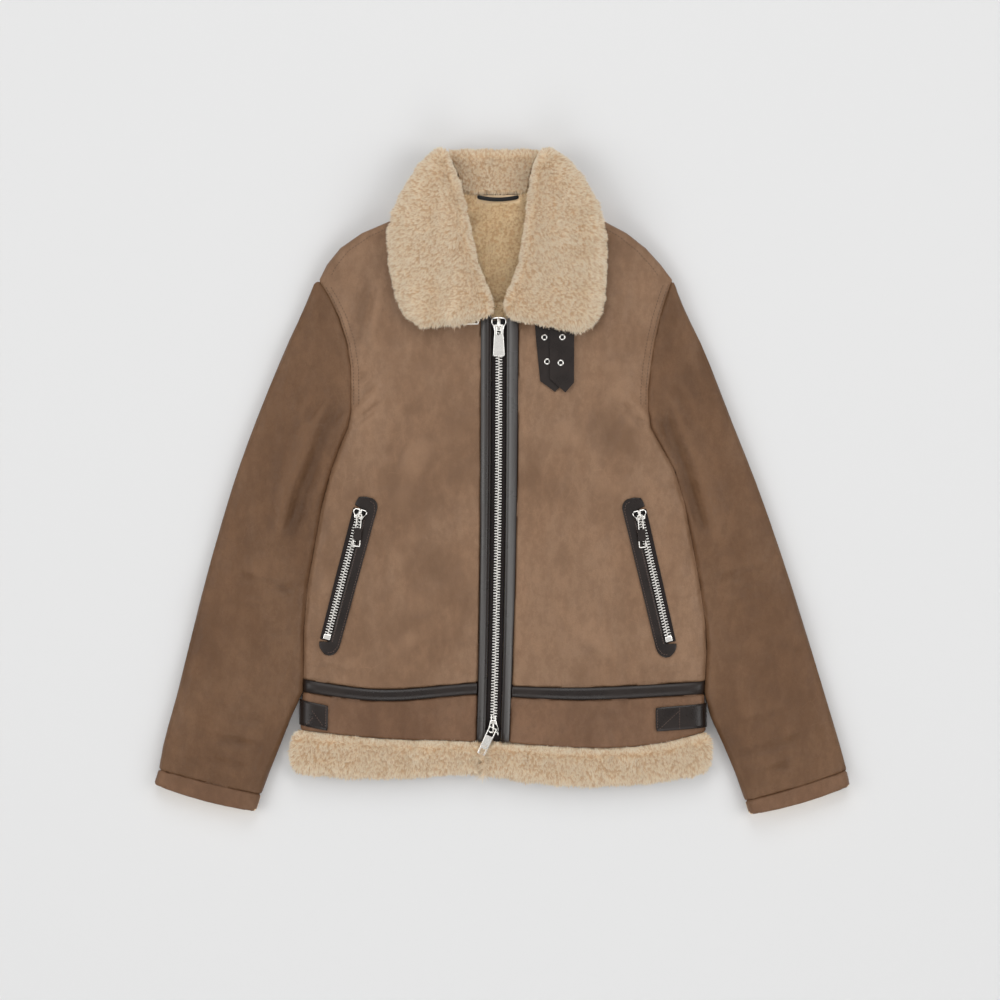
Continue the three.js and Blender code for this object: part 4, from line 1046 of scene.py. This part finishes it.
class COAT_OT_trims(bpy.types.Operator):
    """Make the waist trim, the zip's facings and the side tabs"""

    bl_idname = "coat.trims"
    bl_label = "Trims"

    def execute(self, context):
        looks = finishes()
        for end in (*SIDES, "back"):
            obj = paint(softened(f"waist_trim_{end}_cord", f"waist_trim_{end}"), looks["trim"])
            finish_piece(obj, "root", "trim_leather", f"waist_trim_{end}")
            lay(obj)
            KEPT["dark"].append(obj)
        for side in SIDES:
            for part, cloth in (("zip_facing", "trim"), ("zip_tape", "tape"), ("side_tab", "trim")):
                obj = paint(softened(f"{part}_{side}_cloth", f"{part}_{side}"), looks[cloth])
                finish_piece(obj, "root", "tape" if cloth == "tape" else "dark_leather", f"{part}_{side}")
                lay(obj)
                # a painted highlight along each facing's ridge
                if part == "zip_facing":
                    paint_ridge_highlight(obj, *FACING_RIDGE[side])
                KEPT["dark"].append(obj)
        return {"FINISHED"}


def over_buckle(place, normal):
    x, y, _ = place.T / MM
    return (x > -70) & (x < -24) & (y < 207) & (normal[:, 2] > -0.2)


class COAT_OT_collar(bpy.types.Operator):
    """Make the fleece collar: its wings, its stand and its fall"""

    bl_idname = "coat.collar"
    bl_label = "Collar"

    def execute(self, context):
        for seed, side in enumerate(SIDES):
            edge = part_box(f"collar_wing_{side}")[0][1] / MM + FRINGE_REACH
            pile = Pile((0.42 * SIGN[side], -0.3, 0), 0.9, 1.0, 3.2, edge)
            fleece_piece(f"collar_wing_{side}", pile, 31 + 10 * seed, facing_up)
        wing = bpy.data.objects["collar_wing_right_skin"]
        wool("collar_fringe_wool", wing, Pile((0.1, -0.9, 0), 1.4, 0.9, 3.4), 57, over_buckle)
        fleece_piece("collar_stand", Pile((0, -0.25, 0), 0.85, 0.95, 3.4, 371), 61, facing_up, 2.5 * MM)
        fleece_piece("collar_fall", Pile((0, -0.25, 0), 0.7, 2.1, 6.0), 71, facing_down)
        return {"FINISHED"}


PARTING = -27.8  # x of the gap between the hem's two furs, in millimetres
PULL_IN_WOOL = (-22.5, -326)  # where the hem's wool covers the lower pull, in millimetres


def at_band(place, normal):
    return (normal[:, 1] > 0.3) & (normal[:, 2] > 0)


def at_parting(place, normal):
    x, y, z = place.T / MM
    over_pull = (abs(x - PULL_IN_WOOL[0]) < 7) & (abs(y - PULL_IN_WOOL[1]) < 4) & (normal[:, 2] > 0.5)
    return over_pull | (abs(x - PARTING) < 6) & (z > 12)


class COAT_OT_hem(bpy.types.Operator):
    """Make the fleece along the hem"""

    bl_idname = "coat.hem"
    bl_label = "Hem"

    def execute(self, context):
        for seed, side in enumerate(SIDES):
            pile = Pile((0.05 * SIGN[side], -0.45, 0), 0.95, 1.0, 3.4)
            skin = fleece_piece(f"hem_fur_{side}", pile, 81 + 10 * seed, facing_up)
            wool(f"hem_edge_{side}_wool", skin, Pile((0, 0.42, 0), 0.85, 1.0, 3.4), 141 + seed, at_band)
            crossing = Pile((-0.5 * SIGN[side], -0.2, 0), 2.0, 0.8, 3.4)
            wool(f"hem_parting_{side}_wool", skin, crossing, 151 + seed, at_parting)
        fleece_piece("hem_fur_back", Pile((0, -0.3, 0), 0.75, 2.1, 6.0), 111, facing_down)
        return {"FINISHED"}


LOOP_SLIM = 0.72  # the hanger loop is folded to this share of its width
LOOP_SAG = 2.2 * MM


NECK_HEIGHTS = (225, 252, 292, 325, 353)  # where the open neck's edges are given: y in millimetres
NECK_EDGES = ((-34, -41, -49, -58, -72), (25, 29, 35, 42, 54))  # x of the right and the left edge there
NECK_SEAM, BACK_SEAM = 340, -17  # y and x of the lining's two seams, in millimetres


def in_neck(place, normal):
    """Where the lining shows in the open neck, but not on its seams or under the hanger loop."""
    x, y, z = place.T / MM
    right, left = (np.interp(y, NECK_HEIGHTS, edge) for edge in NECK_EDGES)
    low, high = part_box("hanger_loop")
    at_loop = (place[:, 0] > low[0] - MM) & (place[:, 0] < high[0] + MM)
    at_loop &= (place[:, 1] > low[1] - 1.5 * MM) & (place[:, 1] < high[1] + 1.5 * MM)
    seams = (abs(y - NECK_SEAM) < 0.7) | (abs(x - BACK_SEAM) < 0.7) & (y < NECK_SEAM)
    open_neck = (x > right) & (x < left) & (y > 222) & (y < 361.5)
    return open_neck & (normal[:, 2] > 0.3) & (z > 8) & ~at_loop & ~seams


def in_front(place, normal):
    x, y, _ = place.T / MM
    return (y > 204) & (x > -25) & (x < 12) & (normal[:, 2] > 0.5)


class COAT_OT_lining(bpy.types.Operator):
    """Make the lining's fleece that shows in the neck, and the hanger loop"""

    bl_idname = "coat.lining"
    bl_label = "Lining"

    def execute(self, context):
        back = bpy.data.objects["back_panel_leather"]
        wool("neck_lining_wool", back, Pile((0, -0.3, 0), 0.55, 0.95, 3.4), 121, in_neck, "lining")
        for seed, side in enumerate(SIDES):
            tape = bpy.data.objects[f"zip_tape_{side}_cloth"]
            pile = Pile((0, -0.5, 0), 1.0, 0.8, 4.0)
            wool(f"neck_front_{side}_wool", tape, pile, 131 + seed, in_front, "lining")
        low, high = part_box("hanger_loop")
        loop = paint(softened("hanger_loop_cord", "hanger_loop", sharp=80, crease=0.2), finishes()["cord"])
        points, _ = points_of(loop)
        across = (points[:, 0] - (low[0] + high[0]) / 2) / ((high[0] - low[0]) / 2)
        points[:, 1] = LOOP_SLIM * (points[:, 1] - high[1]) + high[1] - LOOP_SAG * (1 - across**2)
        move_points(loop, points)
        finish_piece(loop, "root", "dark_leather", "hanger_loop")
        lay(loop)
        return {"FINISHED"}


def chain_line(node):
    """The middle of a straight or gently curved strip, as points from its top to its end."""
    heights, lows, highs = rows_of(node)
    return [((low + high) / 2, y) for y, low, high in zip(heights[::-1], lows[::-1], highs[::-1])]


FRONT_TEETH = (8.7, 5.2, 3)  # the chain's width, a tooth's length and its thickness, in millimetres
POCKET_TEETH = (8.6, 5, 2.4)


def teeth(name, line, height, pitch, sizes):
    """Zip teeth that mesh along a line of points."""
    width, length, thick = (size * MM for size in sizes)
    points = np.array(line)
    steps = np.linalg.norm(np.diff(points, axis=0), axis=1)
    along = np.concatenate([[0], np.cumsum(steps)])
    places = []
    for number, at in enumerate(np.arange(pitch / 2, along[-1], pitch / 2)):
        x, y = (np.interp(at, along, points[:, axis]) for axis in range(2))
        ahead = [np.interp(min(at + MM, along[-1]), along, points[:, axis]) for axis in range(2)]
        behind = [np.interp(at - MM, along, points[:, axis]) for axis in range(2)]
        down = Vector((ahead[0] - behind[0], ahead[1] - behind[1], 0)).normalized()
        across = Vector((-down.y, down.x, 0)) * (1 if number % 2 else -1)
        up = Vector((0, 0, 1))
        place = Matrix((across, up.cross(across), up)).transposed().to_4x4()
        place.translation = Vector((x, y, height)) + across * (width / 2 - length / 2)
        places.append(place)
    template = block(length, pitch * 0.44, thick, 0.35 * MM)
    return joined_copies(name, template, places, finishes()["silver"])


def loop_of(body, corners):
    """A closed loop of edges through corners in millimetres."""
    verts = [body.verts.new((x * MM, y * MM, 0)) for x, y in corners]
    return [body.edges.new(pair) for pair in zip(verts, verts[1:] + verts[:1])]


def plate(outline, low, high, bevel, holes=()):
    """A plate with rounded edges: its outline, holes and heights in millimetres."""
    body = bmesh.new()
    edges = loop_of(body, outline)
    for hole in holes:
        edges += loop_of(body, hole)
    bmesh.ops.triangle_fill(body, use_beauty=True, use_dissolve=False, edges=edges, normal=(0, 0, 1))
    raised = bmesh.ops.extrude_face_region(body, geom=body.faces[:])["geom"]
    tops = [item for item in raised if isinstance(item, bmesh.types.BMVert)]
    bmesh.ops.translate(body, verts=body.verts, vec=(0, 0, low * MM))
    bmesh.ops.translate(body, verts=tops, vec=(0, 0, (high - low) * MM))
    bmesh.ops.recalc_face_normals(body, faces=body.faces)
    round_edges(body, bevel * MM)
    mesh = bpy.data.meshes.new("plate")
    body.to_mesh(mesh)
    body.free()
    return mesh


def wire(points, radius, closed=False):
    """A round wire that bends smoothly along points in millimetres."""
    curve = bpy.data.curves.new("wire", "CURVE")
    curve.dimensions = "3D"
    curve.bevel_depth = radius * MM
    curve.bevel_resolution = 2
    curve.resolution_u = 5
    curve.use_fill_caps = not closed
    spline = curve.splines.new("NURBS")
    spline.points.add(len(points) - 1)
    for knot, (x, y, z) in zip(spline.points, points):
        knot.co = (x * MM, y * MM, z * MM, 1)
    spline.order_u = 3
    spline.use_cyclic_u = closed
    spline.use_endpoint_u = not closed
    obj = bpy.data.objects.new("wire", curve)
    mesh = bpy.data.meshes.new_from_object(obj)
    mesh.shade_smooth()
    bpy.data.objects.remove(obj)
    bpy.data.curves.remove(curve)
    return mesh


def ring(low_x, high_x, low_y, high_y, height, radius):
    """A rectangular wire ring with rounded corners."""
    inset = 1.6 * radius
    points = []
    for x, y, step_x, step_y in (
        (low_x, low_y, 1, 0), (high_x, low_y, 0, 1), (high_x, high_y, -1, 0), (low_x, high_y, 0, -1),
    ):
        points += [
            (x - inset * step_y, y + inset * step_x, height), (x, y, height),
            (x + inset * step_x, y + inset * step_y, height),
        ]
    return wire(points, radius, closed=True)


def assembled(name, parts, place, *looks):
    """One object of several meshes, each with the number of its finish, set at its place."""
    body = bmesh.new()
    for mesh, number in parts:
        start = len(body.faces)
        body.from_mesh(mesh)
        body.faces.ensure_lookup_table()
        for face in body.faces[start:]:
            face.material_index = number
        bpy.data.meshes.remove(mesh)
    bmesh.ops.transform(body, matrix=place, verts=body.verts)
    return from_bmesh(name, body, *(finishes()[look] for look in looks), smooth=False)


def hinge_place(joint):
    """A hinge's place, with X along its axis and the pull hanging along -Y."""
    row = next(row for row in frame["record"]["behaviour"]["joints"] if row["name"] == joint)
    across = -Vector(row["axis"]).normalized()
    up = Vector((0, 0, 1))
    place = Matrix((across, up.cross(across), up)).transposed().to_4x4()
    place.translation = row["pos_m"]
    return place


class Slider(NamedTuple):
    """A zip's slider, in millimetres: its half widths and length, its middle from the hinge and its raise."""

    half: float
    narrow: float
    back: float
    length: float
    forward: float
    lift: float = 0.0


PIN_HEIGHT = 8.6  # from a slider's underside to the pull's hinge, in millimetres
SHOULDERS = ((0.28, 0.5), (0.78, 0.47), (1.0, 0.32), (1.0, 0.1), (0.72, -0.2), (0.6, -0.5))
WINDOW = ((0.2, 0.4), (0.68, 0.38), (0.87, 0.27), (0.86, 0.08), (0.55, -0.17), (0.2, -0.22))
ARCH = ((1, 6.2), (1, 9.4), (0.7, 10.5), (-0.45, 10.5), (-0.95, 9.0), (-1, 6.2))


def slider(node, size, place):
    """A slider: the body round the teeth, in black as painted shade, the shoulders with windows that show it,
    and the arch over them.
    """
    ends = [(size.back, 0.5), (-size.back, 0.5), (-size.narrow, -0.5), (size.narrow, -0.5)]
    outline = [(x * size.half, y * size.length) for x, y in SHOULDERS]
    outline += [(-x, y) for x, y in reversed(outline)]
    right = [(x * size.half, y * size.length) for x, y in WINDOW]
    left = [(-x, y) for x, y in right]
    arch = [(0, y * 0.42 * size.length, z + size.lift) for y, z in ARCH]
    parts = [
        # the body is painted black as the shade inside the slider
        (plate([(x, y * size.length) for x, y in ends], 0, 4.6 + size.lift, 0.4), 1),
        (plate(outline, 4 + size.lift, 6.3 + size.lift, 0.6, (right, left)), 0),
        (wire(arch, 1.05), 0),
    ]
    down = Matrix.Translation((0, size.forward * MM, -(PIN_HEIGHT + size.lift) * MM))
    obj = assembled(f"{node}_metal", parts, place @ down, "silver", "painted_shade")
    return finish_piece(obj, "root", "zip_metal", node)


PULL_SWING = {"right": 9, "left": -8}  # how far a pocket pull hangs off its chain's line, in degrees


def tilted(place, degrees):
    return place @ Matrix.Rotation(math.radians(degrees), 4, "X")


def rectangle(low_x, low_y, high_x, high_y):
    return [(low_x, low_y), (high_x, low_y), (high_x, high_y), (low_x, high_y)]


TOP_SLOT = ((-2.4, -11), (0, -12.4), (2.4, -11), (2.4, -0.8), (-2.4, -0.8))
END_PINS = (
    ((-14.6, -292, 24), (-14.6, -300, 24), (-15, -304, 24)),
    ((-9.8, -292, 24), (-9.8, -301, 24), (-9, -306, 25), (-6.6, -311, 26), (-6.4, -316, 26)),
)


class COAT_OT_front_zip(bpy.types.Operator):
    """Make the front zip's teeth, its sliders and their pulls"""

    bl_idname = "coat.front_zip"
    bl_label = "Front zip"

    def execute(self, context):
        low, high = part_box("zip_chain")
        pitch = context.scene.coat_metal.front_pitch
        middle = (low[2] + high[2]) / 2
        chain = teeth("zip_chain_teeth", chain_line("zip_chain"), middle, pitch, FRONT_TEETH)
        finish_piece(chain, "root", "zip_metal", "zip_chain")
        top, bottom = hinge_place("top_pull_hinge"), hinge_place("bottom_pull_hinge")
        slider("zip_slider_top", Slider(9.4, 5.6, 7.6, 17, 2.1), top)
        turned = Matrix.Translation(bottom.translation) @ Matrix.Rotation(math.pi, 4, "Z")
        slider("zip_slider_bottom", Slider(6.4, 5, 6, 16, -1.4, 1.0), turned)
        outline = [(-5.6, 0.9), (-5.6, -13.1), (-6, -14.7), (-7.2, -37.5), (-6.4, -38.5)]
        outline += [(-x, y) for x, y in reversed(outline)]
        pull = assembled("zip_pull_top_metal", [(plate(outline, -0.8, 0.8, 0.45, (TOP_SLOT,)), 0)],
                         tilted(top, 4.5), "silver")
        finish_piece(pull, "top_pull", "zip_metal", "zip_pull_top")
        outline = [(-5.4, 0.9), (-5.4, -12.1), (-5.2, -13.7), (-5.2, -36), (-4.2, -37)]
        outline += [(-x, y) for x, y in reversed(outline)]
        holes = (rectangle(-3.8, -11, 3.8, -0.8), rectangle(-2.6, -34.5, 2.6, -29))
        pull = assembled("zip_pull_bottom_metal", [(plate(outline, -0.8, 0.8, 0.45, holes), 0)],
                         bottom, "silver")
        finish_piece(pull, "bottom_pull", "zip_metal", "zip_pull_bottom")
        pins = assembled("zip_end_pins", [(wire(points, 1.0), 0) for points in END_PINS], Matrix(), "silver")
        finish_piece(pins, "root", "zip_metal")
        return {"FINISHED"}


class COAT_OT_pockets(bpy.types.Operator):
    """Make the pockets' welts, tapes, teeth, sliders, stops and pulls"""

    bl_idname = "coat.pockets"
    bl_label = "Pockets"

    def execute(self, context):
        looks = finishes()
        pitch = context.scene.coat_metal.pocket_pitch
        for side in SIDES:
            name = f"pocket_{side}"
            for part, look, slot in (("welt", "trim", "dark_leather"), ("tape", "tape", "tape")):
                obj = paint(softened(f"{name}_{part}_cloth", f"{name}_{part}"), looks[look])
                finish_piece(obj, "root", slot, f"{name}_{part}")
                lay(obj)
                KEPT["dark"].append(obj)
            low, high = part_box(f"{name}_chain")
            middle = (low[2] + high[2]) / 2
            line = pocket_line(f"{name}_chain")
            made = teeth(f"{name}_chain_teeth", line, middle, pitch, POCKET_TEETH)
            finish_piece(made, "root", "zip_metal", f"{name}_chain")
            stop = paint(bevelled(f"{name}_stop_metal", f"{name}_stop", 0.6 * MM), looks["silver"])
            finish_piece(stop, "root", "zip_metal", f"{name}_stop")
            hinge = hinge_place(f"{side}_pocket_pull_hinge")
            slider(f"{name}_slider", Slider(8.6, 4.6, 5, 12.4, 0.5), hinge)
            swung = Matrix.Rotation(math.radians(PULL_SWING[side]), 4, "Z")
            hanging = tilted(hinge @ swung, 5.5)
            leather = plate(rectangle(-4.9, -32.6, 4.9, -17.2), -0.8, 0.9, 0.6)
            tab = assembled(f"{name}_pull_tab", [(leather, 0)], hanging, "trim")
            finish_piece(tab, f"{side}_pocket_pull", "dark_leather", f"{name}_pull")
            rings = [(ring(-2.9, 2.9, -18.4, 0.2, 0, 0.75), 0), (ring(-4.1, 4.1, -40.1, -31.6, 0, 0.9), 0)]
            links = assembled(f"{name}_pull_rings", rings, hanging, "silver")
            finish_piece(links, f"{side}_pocket_pull", "zip_metal")
        return {"FINISHED"}


def pocket_line(node):
    """The two ends of a leaning strip's middle line."""
    flat = points_in(frame["nodes"][node].data)[:, :2]
    middle = flat.mean(axis=0)
    axis = np.linalg.svd(flat - middle, full_matrices=False)[2][0]
    axis *= -np.sign(axis[1])
    reach = (flat - middle) @ axis
    return [middle + axis * reach.min(), middle + axis * reach.max()]


BUCKLE_PRONG = ((-45, 212, 28.2), (-45, 205, 28.3), (-45, 198.4, 28.3))


class COAT_OT_straps(bpy.types.Operator):
    """Make the collar's straps, their eyelets and the buckle"""

    bl_idname = "coat.straps"
    bl_label = "Collar straps"

    def execute(self, context):
        looks = finishes()
        layers = (("under", "front_left_panel_leather"), ("upper", "collar_strap_under_leather"))
        for part, rests_on in layers:
            node = f"collar_strap_{part}"
            obj = paint(bevelled(f"{node}_leather", node, 0.5 * MM), looks["trim"])
            finish_piece(obj, "root", "dark_leather", node)
            lay(obj)
        keeper = paint(bevelled("buckle_strap_leather", "buckle_strap", 0.4 * MM), looks["trim"])
        finish_piece(keeper, "root", "dark_leather", "buckle_strap")
        lay(keeper)
        parts = [(ring(-61.6, -31.4, 197.8, 212.8, 27.8, 1.4), 0), (wire(BUCKLE_PRONG, 0.9), 0)]
        buckle = assembled("collar_buckle_metal", parts, Matrix(), "silver")
        finish_piece(buckle, "root", "zip_metal", "collar_buckle")
        for number in range(1, 5):
            eyelet(f"strap_eyelet_{number}")
        return {"FINISHED"}


# An eyelet's profile: shares of its radius, and rises in millimetres.
EYELET_PROFILE = ((1, 0), (0.97, 0.45), (0.8, 1.0), (0.64, 1.05), (0.5, 0.5), (0.48, -0.6))


def eyelet(node):
    """A domed metal ring with a black disc in its hole as painted shade."""
    low, high = (Vector(corner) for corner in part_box(node))
    middle = (low + high) / 2
    outer = (high.x - low.x) / 2
    body = bmesh.new()
    profile = [body.verts.new((outer * share, 0, low.z + rise * MM)) for share, rise in EYELET_PROFILE]
    edges = [body.edges.new(pair) for pair in zip(profile[:-1], profile[1:])]
    bmesh.ops.spin(body, geom=profile + edges, cent=(0, 0, 0), axis=(0, 0, 1), angle=2 * math.pi, steps=28,
                   use_merge=True)
    # a black disc as painted shade in the hole
    hole = bmesh.ops.create_circle(
        body, cap_ends=True, radius=outer * 0.5, segments=28,
        matrix=Matrix.Translation((0, 0, low.z - 0.5 * MM)))
    dark = {face for vert in hole["verts"] for face in vert.link_faces}
    bmesh.ops.translate(body, verts=body.verts, vec=(middle.x, middle.y, 0))
    bmesh.ops.recalc_face_normals(body, faces=body.faces)
    for face in dark:
        face.material_index = 1
        if face.normal.z < 0:
            face.normal_flip()
    looks = finishes()
    obj = from_bmesh(f"{node}_ring", body, looks["silver"], looks["painted_shade"])
    return finish_piece(obj, "root", "zip_metal", node)


WELT_TOP = 23.4  # from a pocket pull's hinge up to the welt's end, in millimetres
WELT_SEWING = (
    ((4, 8), (6, 14), (14, 17), (60, 16.8), (120, 16.4), (190, 15.9), (198, 12), (201, 6)),
    ((17.5, 7.6), (60, 7.6), (120, 7.6), (186, 7.6)),
)
TAB_SEWING = {
    "right": (((-239, -285), (-224.6, -305)), ((-237, -294), (-248, -305)), ((-221, -279), (-222, -307))),
    "left": (((220.6, -281), (220.6, -308)), ((195, -309), (219, -287)), ((193, -284), (193, -308))),
}


class COAT_OT_stitching(bpy.types.Operator):
    """Sew the seams of the leather, the welts and the tabs"""

    bl_idname = "coat.stitching"
    bl_label = "Stitching"

    def execute(self, context):
        leather = Surface(KEPT["leather"])
        places = []
        for side in SIDES:
            edge = panel_edge(side)
            sign = SIGN[side]
            for inset in (3.2, 9.6):
                line = [(edge(y * MM) - sign * inset * MM, y * MM) for y in range(96, 250, 6)]
                places += stitch_places(leather, line)
            line = [(edge(y * MM) - sign * 10.5 * MM, (y - 4) * MM) for y in range(262, 352, 6)]
            places += stitch_places(leather, line)
        sewing = joined_copies("seam_stitches", block(0.6 * MM, 2.5 * MM, 0.4 * MM, 0.15 * MM, 1), places,
                               finishes()["brown_thread"])
        finish_piece(sewing, "root", "leather")
        dark = Surface(KEPT["dark"])
        places = []
        for side in SIDES:
            hinge = hinge_place(f"{side}_pocket_pull_hinge") @ Matrix.Translation((0, WELT_TOP * MM, 0))
            for row in WELT_SEWING:
                points = (Vector((-SIGN[side] * inwards * MM, -along * MM, 0)) for along, inwards in row)
                places += stitch_places(dark, [(hinge @ point).xy for point in points], 3.4 * MM)
            for row in TAB_SEWING[side]:
                places += stitch_places(dark, [(x * MM, y * MM) for x, y in row], 3.4 * MM)
        sewing = joined_copies("trim_stitches", block(0.8 * MM, 2.3 * MM, 0.6 * MM, 0.2 * MM, 1), places,
                               finishes()["dark_thread"])
        finish_piece(sewing, "root", "dark_leather")
        return {"FINISHED"}


PHOTO_CENTRE = Vector((-3.75 * MM, -22.5 * MM, TOP_FACE))
SENSOR = 36  # width of the camera's sensor, in Blender's own millimetres
WORLD_LIGHT = 0.38
OVERHEAD = (3.5, 1.7, 3.2)  # height, size and power of the light over the coat
AROUND = (2.4, 2.6, 2.0, 28)  # distance, height, size and power of the four lights around it
AROUND_SHARES = (1.0, 1.15, 1.0, 0.85)  # their powers by quarter turns, from the wearer's left


class COAT_OT_stage(bpy.types.Operator):
    """Make the camera, the floor and the lights"""

    bl_idname = "coat.stage"
    bl_label = "Stage"

    def execute(self, context):
        settings = context.scene.coat_stage
        camera = bpy.data.objects.new("camera", bpy.data.cameras.new("camera"))
        context.scene.collection.objects.link(camera)
        camera.location = PHOTO_CENTRE + Vector((0, 0, settings.height))
        camera.data.sensor_width = SENSOR
        camera.data.lens = SENSOR * settings.height / FRAME_WIDTH
        camera.data.clip_end = 50
        context.scene.camera = camera
        context.scene.view_settings.view_transform = "Standard"

        body = bmesh.new()
        bmesh.ops.create_grid(body, x_segments=1, y_segments=1, size=4)
        floor = from_bmesh("floor", body, floor_finish(tuple(settings.floor)), smooth=False)

        world = bpy.data.worlds.new("studio")
        context.scene.world = world
        world.use_nodes = True
        background = world.node_tree.nodes["Background"]
        background.inputs["Color"].default_value = (1, 1, 1, 1)
        background.inputs["Strength"].default_value = WORLD_LIGHT * settings.light
        height, size, power = OVERHEAD
        softbox("overhead", (0, 0, height), size, power * settings.light)
        reach, height, size, power = AROUND
        for number, share in enumerate(AROUND_SHARES):
            angle = number * math.pi / 2
            place = (reach * math.cos(angle), reach * math.sin(angle), height)
            softbox(f"softbox_{number + 1}", place, size, power * share * settings.light)
        return {"FINISHED"}


def softbox(name, place, size, power):
    """A square light that looks at the coat."""
    lamp = bpy.data.lights.new(name, "AREA")
    lamp.shape = "SQUARE"
    lamp.size = size
    lamp.energy = power
    obj = bpy.data.objects.new(name, lamp)
    bpy.context.scene.collection.objects.link(obj)
    obj.location = place
    obj.rotation_euler = (-Vector(place)).to_track_quat("-Z", "Y").to_euler()
    return obj


def floor_finish(tone):
    finish = Finish("studio_floor", Roughness=0.9, Specular_IOR_Level=0.1)
    return finish.set(Base_Color=tone)


OPERATORS = (
    COAT_OT_panels, COAT_OT_sleeves, COAT_OT_trims, COAT_OT_collar, COAT_OT_hem, COAT_OT_lining,
    COAT_OT_front_zip, COAT_OT_pockets, COAT_OT_straps, COAT_OT_stitching, COAT_OT_stage,
)
SETTINGS = (
    ("coat_leather", LeatherSettings), ("coat_fleece", FleeceSettings), ("coat_metal", MetalSettings),
    ("coat_stage", StageSettings),
)


class COAT_PT_panel(bpy.types.Panel):
    """The coat's settings and its pieces"""

    bl_idname = "COAT_PT_panel"
    bl_label = "Shearling coat"
    bl_space_type = "VIEW_3D"
    bl_region_type = "UI"
    bl_category = "Coat"

    def draw(self, context):
        for name, group in SETTINGS:
            column = self.layout.column()
            for key in group.__annotations__:
                column.prop(getattr(context.scene, name), key)
        for operator in OPERATORS:
            self.layout.operator(operator.bl_idname)


def register():
    for name, group in SETTINGS:
        bpy.utils.register_class(group)
        setattr(bpy.types.Scene, name, bpy.props.PointerProperty(type=group))
    for item in (*OPERATORS, COAT_PT_panel):
        bpy.utils.register_class(item)


def unregister():
    for item in reversed((*OPERATORS, COAT_PT_panel)):
        bpy.utils.unregister_class(item)
    for name, group in reversed(SETTINGS):
        delattr(bpy.types.Scene, name)
        bpy.utils.unregister_class(group)


def main():
    register()
    for operator in OPERATORS:
        group, name = operator.bl_idname.split(".")
        getattr(getattr(bpy.ops, group), name)()


if __name__ == "__main__":
    main()
